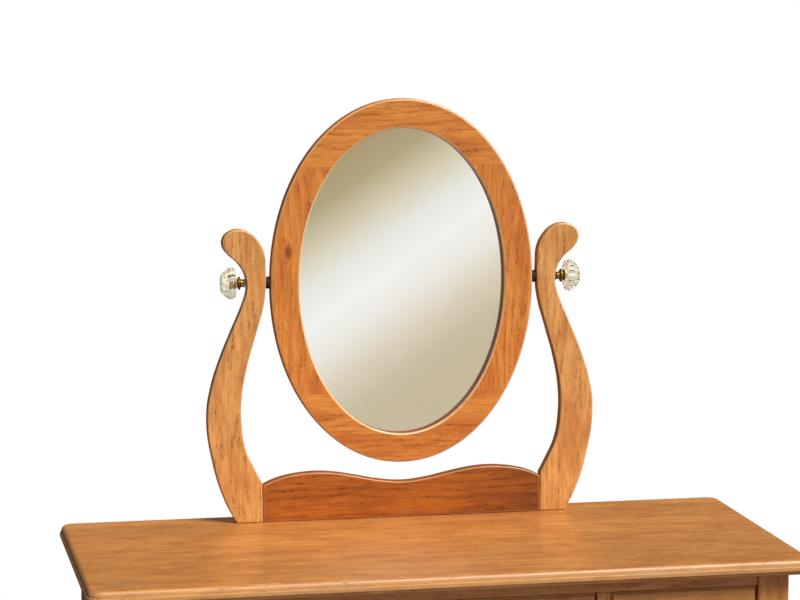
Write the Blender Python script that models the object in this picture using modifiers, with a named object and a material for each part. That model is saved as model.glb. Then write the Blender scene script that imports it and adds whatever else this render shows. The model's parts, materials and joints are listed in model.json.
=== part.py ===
"""Vanity table with a swinging oval mirror: a solid oak table with three drawers on cabriole legs,
and a mirror unit of two lyre-shaped posts, a scalloped rail and an oval frame that tilts between glass knobs.

Metres, +Z up, front towards -Y. The origin is on the floor, under the middle of the object.
"""

import math

import bmesh
import bpy

MM = 0.001
GAP = 0.3 * MM  # joint line between two pieces that touch
PLAY = 0.09 * MM  # radial clearance of a part that turns

# Table top
TOP_WIDTH = 1016 * MM
TOP_DEPTH = 457 * MM
TOP_THICK = 22 * MM
TOP_CORNER = 22 * MM
TABLE_HEIGHT = 762 * MM
TOP_UNDERSIDE = TABLE_HEIGHT - TOP_THICK

# Legs and the frame under the top
LEG_SQUARE = 45 * MM
LEG_BLOCK = 166 * MM
LEG_X = 478 * MM
LEG_FRONT_Y = -198.5 * MM
LEG_BACK_Y = 208.5 * MM
FACE_INSET = 3 * MM
BOARD = 19 * MM
FRAME_TOP = TOP_UNDERSIDE - GAP
RAIL_FACE_Y = LEG_FRONT_Y + FACE_INSET
RAIL_BACK_Y = RAIL_FACE_Y + BOARD
BACK_APRON_Y = LEG_BACK_Y - FACE_INSET - BOARD
BAY_X = LEG_X - LEG_SQUARE
TOP_RAIL_THICK = 18 * MM
TOP_RAIL_DEPTH = 45 * MM
DRAWER_FLOOR = 628 * MM
DRAWER_CEILING = FRAME_TOP - TOP_RAIL_THICK
RUNNER_THICK = 18 * MM
SIDE_RUNNER_X = 402 * MM  # inner edge
MIDDLE_RUNNER_HALF = 30 * MM
PARTITION_X = 209.5 * MM
BACK_APRON_LOW = 612 * MM

# Drawers
FRONT_GAP = 1.5 * MM
BOX_SIDE_GAP = 3 * MM
BOX_HEIGHT = 76 * MM
BOX_DEPTH = 326 * MM
BOX_WALL = 12 * MM
BOTTOM_THICK = 5 * MM
BOTTOM_RAISE = 8 * MM
GROOVE = 5 * MM
SCREW_HEAD_HOLE = 4.5 * MM
KNOB_GLASS_RADIUS = 15 * MM
KNOB_GLASS_DEPTH = 13.4 * MM
KNOB_GLASS_OUT = 12.9 * MM  # from the drawer's face to the back of the glass
KNOB_GLASS_SOCKET = 4.3 * MM
KNOB_SHANK = 2 * MM

# Mirror unit: heights are above the table top
POST_Y = 179.5 * MM  # middle of the boards' thickness
PIVOT_Z = 356.5 * MM
RAIL_END = 211 * MM
OVAL_Z = 353.5 * MM
OVAL = (197.5 * MM, 270.5 * MM)
SIGHT = (154.3 * MM, 227.5 * MM)
RABBET = (161 * MM, 234.2 * MM)
FRAME_LIP = 12 * MM
UPPER_JOINT = 172 * MM
LOWER_JOINT = -164.5 * MM
GLASS_THICK = 3 * MM
GLASS_INSET = 0.5 * MM
BACKING_INSET = 1 * MM
FULLNESS = 2.04  # 2 is a true ellipse, more is squarer
BOLT_RADIUS = 3 * MM
DOWEL_Z = 42 * MM
DOWEL_RADIUS = 4 * MM
DOWEL_LENGTH = 32 * MM
DOWEL_EASE = 0.8 * MM
POST_BOLT_X = 231 * MM
POST_BOLT_HOLE = BOLT_RADIUS + GAP
POST_BOLT_REACH = 32 * MM
POST_BOLT_HEAD = 6 * MM
INSERT_RADIUS = 5 * MM
INSERT_LENGTH = 14 * MM
INSERT_FACE = OVAL[0] - 0.5 * MM

# Backing clips
CLIP_THICK = 1.5 * MM
CLIP_HALF = 18 * MM
CLIP_END = 7 * MM
CLIP_PAST_RABBET = 5 * MM
CLIP_ANGLES = {"upper_left": 125, "upper_right": 55, "lower_left": 235, "lower_right": 305}

# Pivots and clamp knobs: distances from the middle, outwards
SPACER_RADIUS = 9 * MM
SPACER_FROM = OVAL[0] + GAP
SPACER_TO = 203.6 * MM
SEAT_FROM = 234.9 * MM
GLASS_FROM = 249 * MM
KNOB_RADIUS = 23.5 * MM
KNOB_DEPTH = 21 * MM
KNOB_SOCKET = 6.8 * MM
SEAT_BOSS = 5 * MM
SEAT_BORE = BOLT_RADIUS + GAP

TOP = TABLE_HEIGHT
PIVOT = TOP + PIVOT_Z
FRAME_FRONT_Y = POST_Y - BOARD / 2
OVAL_CENTRE = TOP + OVAL_Z
FAR = 400 * MM  # past every edge, for cutters
SIDES = (("left", -1), ("right", 1))


# ---------------------------------------------------------------- scene and helpers

for leftover in list(bpy.data.objects):
    bpy.data.objects.remove(leftover)

vanity = bpy.data.collections.new("vanity_table")
cutters = bpy.data.collections.new("cutters")
cutters.hide_render = True
bpy.context.scene.collection.children.link(vanity)
bpy.context.scene.collection.children.link(cutters)


def finish(name, colour, roughness, metallic=0.0, transmission=0.0):
    """A Principled material in one colour."""
    made = bpy.data.materials.new(name)
    made.use_nodes = True
    shader = made.node_tree.nodes["Principled BSDF"]
    shader.inputs["Base Color"].default_value = (*colour, 1.0)
    shader.inputs["Roughness"].default_value = roughness
    shader.inputs["Metallic"].default_value = metallic
    shader.inputs["Transmission Weight"].default_value = transmission
    made.diffuse_color = (*colour, 1.0)
    return made


OAK = finish("golden_oak", (0.60, 0.26, 0.07), 0.35)
OAK_DARK = finish("golden_oak_rail", (0.45, 0.17, 0.04), 0.35)
DRAWER_WOOD = finish("pale_drawer_wood", (0.62, 0.45, 0.26), 0.6)
HARDBOARD = finish("hardboard", (0.20, 0.12, 0.07), 0.8)
SILVERED = finish("silvered_glass", (0.9, 0.9, 0.9), 0.02, metallic=1.0)
CRYSTAL = finish("cut_glass", (0.95, 0.93, 0.85), 0.05, transmission=1.0)
BRASS = finish("aged_brass", (0.55, 0.42, 0.18), 0.3, metallic=1.0)
STEEL = finish("zinc_steel", (0.60, 0.60, 0.58), 0.4, metallic=1.0)
WASHER = finish("brown_washer", (0.05, 0.03, 0.02), 0.6)


def place(name, mesh, material, location=(0, 0, 0), rotation=(0, 0, 0)):
    """Links a mesh as one object of the vanity."""
    obj = bpy.data.objects.new(name, mesh)
    obj.location = location
    obj.rotation_euler = rotation
    vanity.objects.link(obj)
    mesh.materials.clear()
    mesh.materials.append(material)
    return obj


def box_mesh(name, size):
    """A box of this size about its own origin."""
    mesh = bpy.data.meshes.new(name)
    shape = bmesh.new()
    bmesh.ops.create_cube(shape, size=1.0)
    bmesh.ops.scale(shape, vec=size, verts=shape.verts)
    shape.to_mesh(mesh)
    shape.free()
    return mesh


def board(name, low, high, material):
    """A square-edged board between two corners."""
    size = [b - a for a, b in zip(low, high)]
    centre = [(a + b) / 2 for a, b in zip(low, high)]
    return place(name, box_mesh(name, size), material, centre)


def hide_as_cutter(obj):
    for holder in list(obj.users_collection):
        holder.objects.unlink(obj)
    cutters.objects.link(obj)
    obj.hide_render = True
    obj.display_type = "WIRE"
    return obj


def block_cutter(name, low, high):
    return hide_as_cutter(board(name, low, high, OAK))


def drill(name, centre, radius, length, axis):
    """A round cutter along X, Y or Z."""
    mesh = bpy.data.meshes.new(name)
    shape = bmesh.new()
    bmesh.ops.create_cone(
        shape, cap_ends=True, segments=24, radius1=radius, radius2=radius, depth=length
    )
    shape.to_mesh(mesh)
    shape.free()
    turn = {"X": (0, math.pi / 2, 0), "Y": (math.pi / 2, 0, 0), "Z": (0, 0, 0)}[axis]
    return hide_as_cutter(place(name, mesh, OAK, centre, turn))


def boolean(obj, cutter, operation="DIFFERENCE"):
    step = obj.modifiers.new(cutter.name, "BOOLEAN")
    step.operation = operation
    step.object = cutter


def soften(obj, width, segments=2):
    step = obj.modifiers.new("soft_edges", "BEVEL")
    step.width = width
    step.segments = segments
    step.limit_method = "ANGLE"
    step.angle_limit = math.radians(40)


def sawn(name, outlines, thickness, material, location, rotation, resolution=3):
    """A board sawn to closed outlines of (x, y), or (x, y, "corner") where the line turns sharply."""
    curve = bpy.data.curves.new(name, "CURVE")
    curve.dimensions = "2D"
    curve.fill_mode = "BOTH"
    curve.extrude = thickness / 2
    curve.resolution_u = resolution
    for outline in outlines:
        spline = curve.splines.new("BEZIER")
        spline.bezier_points.add(len(outline) - 1)
        for knot, point in zip(spline.bezier_points, outline):
            handle = "VECTOR" if len(point) == 3 else "AUTO"
            knot.co = (point[0], point[1], 0)
            knot.handle_left_type = handle
            knot.handle_right_type = handle
        spline.use_cyclic_u = True
    guide = bpy.data.objects.new(name + "_outline", curve)
    vanity.objects.link(guide)
    guide.location = location
    guide.rotation_euler = rotation
    bpy.context.view_layer.update()
    mesh = bpy.data.meshes.new_from_object(guide.evaluated_get(bpy.context.evaluated_depsgraph_get()))
    mesh.name = name
    shape = bmesh.new()
    shape.from_mesh(mesh)
    bmesh.ops.remove_doubles(shape, verts=shape.verts, dist=0.01 * MM)
    bmesh.ops.recalc_face_normals(shape, faces=shape.faces)
    shape.to_mesh(mesh)
    shape.free()
    obj = place(name, mesh, material)
    obj.matrix_world = guide.matrix_world
    bpy.data.objects.remove(guide)
    return obj


UPRIGHT = (math.pi / 2, 0, 0)  # an outline in X and Z, its thickness along Y
SIDEWAYS = (math.pi / 2, 0, math.pi / 2)  # an outline in Y and Z, its thickness along X


def turned(name, profile, steps, material, location, rotation):
    """A profile of (radius, height) points turned about the local Z axis."""
    mesh = bpy.data.meshes.new(name)
    points = [(radius, 0, height) for radius, height in profile]
    edges = [(i, i + 1) for i in range(len(points) - 1)]
    if profile[0][0] > 0:
        edges.append((len(points) - 1, 0))
    mesh.from_pydata(points, edges, [])
    obj = place(name, mesh, material, location, rotation)
    screw = obj.modifiers.new("turning", "SCREW")
    screw.steps = steps
    screw.render_steps = steps
    screw.use_merge_vertices = True
    screw.merge_threshold = 0.00001
    return obj


def outward(side):
    """Turns local +Z to point away from the middle, along X."""
    return (0, side * math.pi / 2, 0)


# ---------------------------------------------------------------- table: legs

# Height, then how far the inner and the outer faces stand from the inner face of the leg's square block,
# and how round the section is: 0 is square, 1 is a circle.
LEG_STATIONS = [
    (FRAME_TOP, 0, 45, 0.0),
    (TOP_UNDERSIDE - LEG_BLOCK, 0, 45, 0.0),
    (567 * MM, 0, 50, 0.1),
    (554 * MM, 0, 56, 0.25),
    (538 * MM, 1, 58, 0.35),
    (512 * MM, 4, 57, 0.45),
    (470 * MM, 8, 53, 0.6),
    (410 * MM, 11, 49, 0.7),
    (340 * MM, 13, 45, 0.8),
    (260 * MM, 14, 42, 0.9),
    (180 * MM, 14, 39.5, 1.0),
    (120 * MM, 14, 38.5, 1.0),
    (85 * MM, 14, 40, 1.0),
    (60 * MM, 13, 44, 1.0),
    (42 * MM, 11, 51, 1.0),
    (28 * MM, 7, 58, 1.0),
    (16 * MM, 6, 60, 1.0),
    (7 * MM, 8, 58, 1.0),
    (0, 14, 52, 1.0),
]
LEG_SIDES = 16
SQUARE_CORNER = 1.36  # reach of an eased corner, where a sharp one reaches 1.41


def leg_ring(shape, inner, outer, roundness, height):
    """One section of the leg, between a square and a circle, in the quadrant that points outwards."""
    centre = (inner + outer) / 2 * MM
    half = (outer - inner) / 2 * MM
    ring = []
    for i in range(LEG_SIDES):
        angle = 2 * math.pi * (i + 0.5) / LEG_SIDES
        across, along = math.cos(angle), math.sin(angle)
        square = 1 / max(abs(across), abs(along))
        reach = half * (roundness + (1 - roundness) * min(square, SQUARE_CORNER))
        ring.append(shape.verts.new((centre + reach * across, centre + reach * along, height)))
    return ring


def cabriole_leg(name, side, end_y, corner_y):
    """A leg lofted through its sections. corner_y is the outer face, end_y says which way it faces."""
    mesh = bpy.data.meshes.new(name)
    shape = bmesh.new()
    rings = [leg_ring(shape, a, b, r, z) for z, a, b, r in reversed(LEG_STATIONS)]
    for lower, upper in zip(rings, rings[1:]):
        for i in range(LEG_SIDES):
            j = (i + 1) % LEG_SIDES
            shape.faces.new((lower[i], lower[j], upper[j], upper[i]))
    shape.faces.new(reversed(rings[0]))
    shape.faces.new(rings[-1])
    bmesh.ops.scale(shape, vec=(side, end_y, 1), verts=shape.verts)
    bmesh.ops.recalc_face_normals(shape, faces=shape.faces)
    shape.to_mesh(mesh)
    shape.free()
    return place(name, mesh, OAK, (side * BAY_X, corner_y - end_y * LEG_SQUARE, 0))


for side_name, side in SIDES:
    cabriole_leg(f"leg_front_{side_name}", side, -1, LEG_FRONT_Y)
    cabriole_leg(f"leg_back_{side_name}", side, 1, LEG_BACK_Y)


# ---------------------------------------------------------------- table: top and frame

def rounded_rectangle(width, depth, radius, steps=5):
    corners = ((1, 1, 0), (-1, 1, 90), (-1, -1, 180), (1, -1, 270))
    points = []
    for across, along, start in corners:
        for i in range(steps + 1):
            angle = math.radians(start + 90 * i / steps)
            points.append((
                across * (width / 2 - radius) + radius * math.cos(angle),
                along * (depth / 2 - radius) + radius * math.sin(angle),
                "corner",
            ))
    return points


table_top = sawn(
    "table_top", [rounded_rectangle(TOP_WIDTH, TOP_DEPTH, TOP_CORNER)], TOP_THICK, OAK,
    (0, 0, TABLE_HEIGHT - TOP_THICK / 2), (0, 0, 0), resolution=1,
)
soften(table_top, 6 * MM)
for side_name, side in SIDES:
    hole = drill(
        f"top_hole_{side_name}", (side * POST_BOLT_X, POST_Y, TABLE_HEIGHT), POST_BOLT_HOLE,
        4 * TOP_THICK, "Z",
    )
    boolean(table_top, hole)

board(
    "back_apron",
    (-BAY_X + GAP, BACK_APRON_Y, BACK_APRON_LOW),
    (BAY_X - GAP, BACK_APRON_Y + BOARD, FRAME_TOP), OAK,
)

SIDE_MIDDLE_Y = (LEG_FRONT_Y + LEG_BACK_Y) / 2
SIDE_HALF = (LEG_BACK_Y - LEG_FRONT_Y) / 2 - LEG_SQUARE - GAP
# The low arch of a side apron: share of the half length from the middle, then height.
SIDE_ARCH = [(0, 634), (0.30, 630), (0.62, 616), (0.86, 604)]
SIDE_ARCH_END = 606 * MM
half_arch = [(share * SIDE_HALF, z * MM) for share, z in SIDE_ARCH]
side_outline = (
    [(-SIDE_HALF, FRAME_TOP, "corner"), (-SIDE_HALF, SIDE_ARCH_END, "corner")]
    + [(-y, z) for y, z in half_arch[:0:-1]]
    + half_arch
    + [(SIDE_HALF, SIDE_ARCH_END, "corner"), (SIDE_HALF, FRAME_TOP, "corner")]
)
for side_name, side in SIDES:
    sawn(
        f"side_apron_{side_name}", [side_outline], BOARD, OAK,
        (side * (LEG_X - FACE_INSET - BOARD / 2), SIDE_MIDDLE_Y, 0), SIDEWAYS,
    )

board(
    "front_top_rail",
    (-BAY_X + GAP, RAIL_FACE_Y, DRAWER_CEILING),
    (BAY_X - GAP, RAIL_FACE_Y + TOP_RAIL_DEPTH, FRAME_TOP), OAK,
)

# Half of the lower edge of the front rail, from the leg to the middle: two sawn arches with a drop between.
SCALLOP = [
    (415, 580), (385, 583), (345, 595), (300, 603), (250, 600), (215, 589), (190, 584),
    (165, 588), (125, 599), (65, 606),
]
SCALLOP_END = 584 * MM
SCALLOP_MIDDLE = 607 * MM
half_scallop = [(x * MM, z * MM) for x, z in SCALLOP]
front_outline = (
    [(-BAY_X + GAP, DRAWER_FLOOR, "corner"), (-BAY_X + GAP, SCALLOP_END, "corner")]
    + [(-x, z) for x, z in half_scallop]
    + [(0, SCALLOP_MIDDLE)]
    + half_scallop[::-1]
    + [(BAY_X - GAP, SCALLOP_END, "corner"), (BAY_X - GAP, DRAWER_FLOOR, "corner")]
)
sawn(
    "front_bottom_rail", [front_outline], BOARD, OAK,
    (0, RAIL_FACE_Y + BOARD / 2, 0), UPRIGHT,
)

RUNNER_Z = (DRAWER_FLOOR - RUNNER_THICK, DRAWER_FLOOR)
RUNNER_Y = (RAIL_BACK_Y + GAP, BACK_APRON_Y - GAP)
for side_name, side in SIDES:
    middle = side * PARTITION_X
    board(
        f"partition_{side_name}",
        (middle - BOARD / 2, RAIL_FACE_Y, DRAWER_FLOOR + GAP),
        (middle + BOARD / 2, BACK_APRON_Y - GAP, DRAWER_CEILING - GAP), OAK,
    )
    board(
        f"middle_runner_{side_name}",
        (middle - MIDDLE_RUNNER_HALF, RUNNER_Y[0], RUNNER_Z[0]),
        (middle + MIDDLE_RUNNER_HALF, RUNNER_Y[1], RUNNER_Z[1]), DRAWER_WOOD,
    )
    reach = sorted((side * SIDE_RUNNER_X, side * (BAY_X - GAP)))
    board(
        f"side_runner_{side_name}",
        (reach[0], RUNNER_Y[0], RUNNER_Z[0]), (reach[1], RUNNER_Y[1], RUNNER_Z[1]), DRAWER_WOOD,
    )


# ---------------------------------------------------------------- drawers

def glass_knob(name, radius, depth, socket, location, rotation):
    """A pressed glass knob with twelve facets, hollow at the back for its brass seat."""
    profile = [
        (0, depth),
        (0.54 * radius, depth),
        (0.92 * radius, 0.56 * depth),
        (radius, 0.38 * depth),
        (0.98 * radius, 0.12 * depth),
        (0.88 * radius, 0),
        (socket, 0),
        (socket, 0.35 * depth),
        (0, 0.35 * depth),
    ]
    return turned(name, profile, 12, CRYSTAL, location, rotation)


def drawer(name, low_x, high_x):
    """Front, box, bottom and knob of one drawer between two sides of its bay."""
    middle = (low_x + high_x) / 2
    front = board(
        f"{name}_front",
        (low_x + FRONT_GAP, RAIL_FACE_Y, DRAWER_FLOOR + FRONT_GAP),
        (high_x - FRONT_GAP, RAIL_BACK_Y, DRAWER_CEILING - FRONT_GAP), OAK,
    )
    soften(front, 2 * MM, 1)
    knob_z = (DRAWER_FLOOR + DRAWER_CEILING) / 2
    knob_at = (middle, RAIL_FACE_Y, knob_z)
    boolean(front, drill(f"{name}_knob_hole", knob_at, KNOB_SHANK + GAP, 4 * BOARD, "Y"))

    low = (low_x + BOX_SIDE_GAP, RAIL_BACK_Y + GAP, DRAWER_FLOOR + GAP)
    high = (high_x - BOX_SIDE_GAP, RAIL_BACK_Y + GAP + BOX_DEPTH, DRAWER_FLOOR + GAP + BOX_HEIGHT)
    case = board(f"{name}_box", low, high, DRAWER_WOOD)
    inner_low = (low[0] + BOX_WALL, low[1] + BOX_WALL, low[2] - 5 * MM)
    inner_high = (high[0] - BOX_WALL, high[1] - BOX_WALL, high[2] + 5 * MM)
    boolean(case, block_cutter(f"{name}_hollow", inner_low, inner_high))
    groove_z = low[2] + BOTTOM_RAISE
    groove_low = (inner_low[0] - GROOVE, inner_low[1] - GROOVE, groove_z - GAP)
    groove_high = (inner_high[0] + GROOVE, inner_high[1] + GROOVE, groove_z + BOTTOM_THICK + GAP)
    boolean(case, block_cutter(f"{name}_groove", groove_low, groove_high))
    boolean(case, drill(f"{name}_screw_hole", (middle, low[1], knob_z), SCREW_HEAD_HOLE, 4 * BOX_WALL, "Y"))
    board(
        f"{name}_bottom",
        (groove_low[0] + GAP, groove_low[1] + GAP, groove_z),
        (groove_high[0] - GAP, groove_high[1] - GAP, groove_z + BOTTOM_THICK), HARDBOARD,
    )

    # The seat's screw comes through the front and its head is inside the drawer.
    face = (middle, RAIL_FACE_Y, knob_z)
    forward = (math.pi / 2, 0, 0)
    seat_profile = [
        (0, 16.8 * MM),
        (4 * MM, 16.8 * MM),
        (4 * MM, 12.6 * MM),
        (7 * MM, 12.4 * MM),
        (7.5 * MM, 11 * MM),
        (5.5 * MM, 9.5 * MM),
        (5.5 * MM, 5 * MM),
        (9 * MM, 2.5 * MM),
        (10 * MM, GAP),
        (KNOB_SHANK, GAP),
        (KNOB_SHANK, -BOARD - GAP),
        (4 * MM, -BOARD - GAP),
        (4 * MM, -BOARD - 2.5 * MM),
        (0, -BOARD - 3 * MM),
    ]
    turned(f"{name}_knob_seat", seat_profile, 16, BRASS, face, forward)
    glass_knob(
        f"{name}_knob_glass", KNOB_GLASS_RADIUS, KNOB_GLASS_DEPTH, KNOB_GLASS_SOCKET,
        (middle, RAIL_FACE_Y - KNOB_GLASS_OUT, knob_z), forward,
    )


partition_reach = PARTITION_X + BOARD / 2
drawer("drawer_left", -BAY_X, -partition_reach)
drawer("drawer_centre", -PARTITION_X + BOARD / 2, PARTITION_X - BOARD / 2)
drawer("drawer_right", partition_reach, BAY_X)


# ---------------------------------------------------------------- mirror posts and rail

# The right-hand post, seen from the front: distance from the middle, height above the table top.
POST_OUTLINE = [
    (211, 0, "corner"), (250, 0, "corner"), (265.5, 30), (284, 90), (292.5, 158), (286, 203),
    (271, 249), (253, 292), (240.5, 321), (233.2, 345), (234.6, 366), (245, 385), (259.5, 398.5),
    (267.8, 411), (266, 425), (256, 433.3), (245, 435.8), (229, 431.5), (214, 417), (206, 399),
    (204.4, 376), (204.4, 350), (208.5, 320), (219.5, 281), (233.5, 231), (241, 188), (241.8, 150),
    (235.5, 109), (221.5, 78), (211.5, 59, "corner"),
]


def post(side_name, side):
    outline = [(side * p[0] * MM, p[1] * MM, *p[2:]) for p in POST_OUTLINE]
    body = sawn(f"post_{side_name}", [outline], BOARD, OAK, (0, POST_Y, TOP), UPRIGHT)
    body.location.z += GAP
    centre = (side * RAIL_END, POST_Y, PIVOT)
    boolean(body, drill(f"pivot_hole_{side_name}", centre, BOLT_RADIUS + PLAY, 2 * LEG_SQUARE, "X"))
    dowel_hole = drill(
        f"post_dowel_hole_{side_name}", (side * RAIL_END, POST_Y, TOP + DOWEL_Z), DOWEL_RADIUS + GAP,
        DOWEL_LENGTH + 2 * GAP, "X",
    )
    boolean(body, dowel_hole)
    foot_hole = drill(
        f"foot_hole_{side_name}", (side * POST_BOLT_X, POST_Y, TOP), POST_BOLT_HOLE,
        2 * (POST_BOLT_REACH + GAP), "Z",
    )
    boolean(body, foot_hole)
    return dowel_hole


dowel_holes = [post(side_name, side) for side_name, side in SIDES]

# Half of the rail's top edge, from its dip in the middle to the post.
RAIL_WAVE = [(36, 56.9), (73, 64.4), (103, 69.8), (128, 71.8), (152, 70.8), (177, 67), (197, 61)]
RAIL_END_HEIGHT = 54.6 * MM
RAIL_DIP_HEIGHT = 53.4 * MM
half_wave = [(x * MM, z * MM) for x, z in RAIL_WAVE]
rail_reach = RAIL_END - GAP
rail_outline = (
    [(-rail_reach, 0, "corner"), (rail_reach, 0, "corner"), (rail_reach, RAIL_END_HEIGHT, "corner")]
    + half_wave[::-1]
    + [(0, RAIL_DIP_HEIGHT)]
    + [(-x, z) for x, z in half_wave]
    + [(-rail_reach, RAIL_END_HEIGHT, "corner")]
)
mirror_rail = sawn(
    "mirror_rail", [rail_outline], BOARD, OAK_DARK, (0, POST_Y, TOP + GAP), UPRIGHT
)
for hole in dowel_holes:
    boolean(mirror_rail, hole)

for side_name, side in SIDES:
    half = DOWEL_LENGTH / 2
    dowel_profile = [
        (0, half), (DOWEL_RADIUS - DOWEL_EASE, half), (DOWEL_RADIUS, half - DOWEL_EASE),
        (DOWEL_RADIUS, -half + DOWEL_EASE), (DOWEL_RADIUS - DOWEL_EASE, -half), (0, -half),
    ]
    turned(
        f"rail_dowel_{side_name}", dowel_profile, 16, DRAWER_WOOD,
        (side * RAIL_END, POST_Y, TOP + DOWEL_Z), (0, math.pi / 2, 0),
    )
    bolt_profile = [
        (0, POST_BOLT_REACH),
        (BOLT_RADIUS, POST_BOLT_REACH),
        (BOLT_RADIUS, -TOP_THICK - GAP),
        (POST_BOLT_HEAD, -TOP_THICK - GAP),
        (POST_BOLT_HEAD, -TOP_THICK - 3 * MM),
        (4 * MM, -TOP_THICK - 5 * MM),
        (0, -TOP_THICK - 5 * MM),
    ]
    turned(
        f"post_bolt_{side_name}", bolt_profile, 16, STEEL,
        (side * POST_BOLT_X, POST_Y, TOP), (0, 0, 0),
    )


# ---------------------------------------------------------------- oval frame, glass and backing

def oval(semi, count=64):
    """Points round a slightly squared ellipse, anticlockwise from the right."""
    points = []
    for i in range(count):
        angle = 2 * math.pi * i / count
        across, up = math.cos(angle), math.sin(angle)
        points.append((
            semi[0] * math.copysign(abs(across) ** (2 / FULLNESS), across),
            semi[1] * math.copysign(abs(up) ** (2 / FULLNESS), up),
            "corner",
        ))
    return points


def oval_board(name, outlines, front_y, thickness, material):
    return sawn(
        name, outlines, thickness, material, (0, front_y + thickness / 2, OVAL_CENTRE), UPRIGHT,
        resolution=1,
    )


rabbet = hide_as_cutter(oval_board(
    "rabbet", [oval(RABBET)], FRAME_FRONT_Y + FRAME_LIP, BOARD, OAK
))

HALF_GAP = GAP / 2
SEGMENTS = {
    "frame_top": ((-FAR, UPPER_JOINT + HALF_GAP), (FAR, FAR)),
    "frame_bottom": ((-FAR, -FAR), (FAR, LOWER_JOINT - HALF_GAP)),
    "frame_left": ((-FAR, LOWER_JOINT + HALF_GAP), (0, UPPER_JOINT - HALF_GAP)),
    "frame_right": ((0, LOWER_JOINT + HALF_GAP), (FAR, UPPER_JOINT - HALF_GAP)),
}
for name, (low, high) in SEGMENTS.items():
    segment = oval_board(name, [oval(OVAL), oval(SIGHT)], FRAME_FRONT_Y, BOARD, OAK)
    boolean(segment, rabbet)
    window = block_cutter(
        f"{name}_window",
        (low[0], POST_Y - BOARD, OVAL_CENTRE + low[1]), (high[0], POST_Y + BOARD, OVAL_CENTRE + high[1]),
    )
    boolean(segment, window, "INTERSECT")
    if name in ("frame_left", "frame_right"):
        side = -1 if name == "frame_left" else 1
        depth = INSERT_LENGTH + 0.5 * MM + GAP
        boolean(segment, drill(
            f"{name}_insert_hole", (side * OVAL[0], POST_Y, PIVOT), INSERT_RADIUS + GAP, 2 * depth, "X"
        ))

glass_front = FRAME_FRONT_Y + FRAME_LIP + GAP
oval_board(
    "mirror_glass", [oval([half - GLASS_INSET for half in RABBET])], glass_front, GLASS_THICK, SILVERED
)
backing_front = glass_front + GLASS_THICK + GAP
backing_back = FRAME_FRONT_Y + BOARD - GAP
oval_board(
    "backing_board", [oval([half - BACKING_INSET for half in RABBET])], backing_front,
    backing_back - backing_front, HARDBOARD,
)

clip_outline = []
for end in (1, -1):
    for i in range(7):
        angle = math.radians(-90 + 30 * i)
        clip_outline.append((
            end * ((CLIP_HALF - CLIP_END) + CLIP_END * math.cos(angle)), end * CLIP_END * math.sin(angle),
            "corner",
        ))
for name, degrees in CLIP_ANGLES.items():
    angle = math.radians(degrees)
    across = (RABBET[0] + CLIP_PAST_RABBET) * math.cos(angle)
    up = (RABBET[1] + CLIP_PAST_RABBET) * math.sin(angle)
    sawn(
        f"backing_clip_{name}", [clip_outline], CLIP_THICK, STEEL,
        (across, FRAME_FRONT_Y + BOARD + GAP + CLIP_THICK / 2, OVAL_CENTRE + up),
        (math.pi / 2, -math.atan2(up, across), 0), resolution=1,
    )


# ---------------------------------------------------------------- pivots and clamp knobs

for side_name, side in SIDES:
    hub = (0, POST_Y, PIVOT)
    turn = outward(side)
    bore = BOLT_RADIUS + PLAY
    turned(
        f"frame_insert_{side_name}",
        [
            (INSERT_RADIUS, INSERT_FACE),
            (INSERT_RADIUS, INSERT_FACE - INSERT_LENGTH),
            (bore, INSERT_FACE - INSERT_LENGTH),
            (bore, INSERT_FACE),
        ],
        24, BRASS, hub, turn,
    )
    turned(
        f"pivot_spacer_{side_name}",
        [
            (SPACER_RADIUS - 1 * MM, SPACER_TO),
            (SPACER_RADIUS, SPACER_TO - 1 * MM),
            (SPACER_RADIUS, SPACER_FROM + 1 * MM),
            (SPACER_RADIUS - 1 * MM, SPACER_FROM),
            (bore, SPACER_FROM),
            (bore, SPACER_TO),
        ],
        24, WASHER, hub, turn,
    )
    bolt_tip = INSERT_FACE - INSERT_LENGTH + 1 * MM
    bolt_end = GLASS_FROM - 1 * MM
    turned(
        f"pivot_bolt_{side_name}",
        [
            (0, bolt_end), (BOLT_RADIUS, bolt_end), (BOLT_RADIUS, bolt_tip + 1 * MM),
            (BOLT_RADIUS - 1 * MM, bolt_tip), (0, bolt_tip),
        ],
        24, STEEL, hub, turn,
    )
    turned(
        f"clamp_knob_seat_{side_name}",
        [
            (6.5 * MM, GLASS_FROM + SEAT_BOSS),
            (6.5 * MM, GLASS_FROM - GAP),
            (8.5 * MM, GLASS_FROM - GAP),
            (8.2 * MM, GLASS_FROM - 1.5 * MM),
            (6 * MM, GLASS_FROM - 3 * MM),
            (6.4 * MM, GLASS_FROM - 4 * MM),
            (9.8 * MM, GLASS_FROM - 5 * MM),
            (9.8 * MM, GLASS_FROM - 6.2 * MM),
            (6.2 * MM, GLASS_FROM - 8 * MM),
            (5.6 * MM, SEAT_FROM + 1.5 * MM),
            (6.5 * MM, SEAT_FROM),
            (SEAT_BORE, SEAT_FROM),
            (SEAT_BORE, GLASS_FROM + SEAT_BOSS),
        ],
        16, BRASS, hub, turn,
    )
    glass_knob(
        f"clamp_knob_glass_{side_name}", KNOB_RADIUS, KNOB_DEPTH, KNOB_SOCKET,
        (side * GLASS_FROM, POST_Y, PIVOT), turn,
    )

for obj in vanity.objects:
    obj.data.set_sharp_from_angle(angle=math.radians(35))
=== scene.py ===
# %% [markdown]
# # An oak vanity table with a swinging oval mirror
#
# The joints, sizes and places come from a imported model, the frame. This file gives that frame its looks:
# finer boards with eased edges, turned brass, pressed glass, and wood that is worked out from how oak grows.
# Every cell below makes one kind of piece or one finish, and says first what the real one is.

# %% Load the frame
import json
import math
from functools import partial

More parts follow.
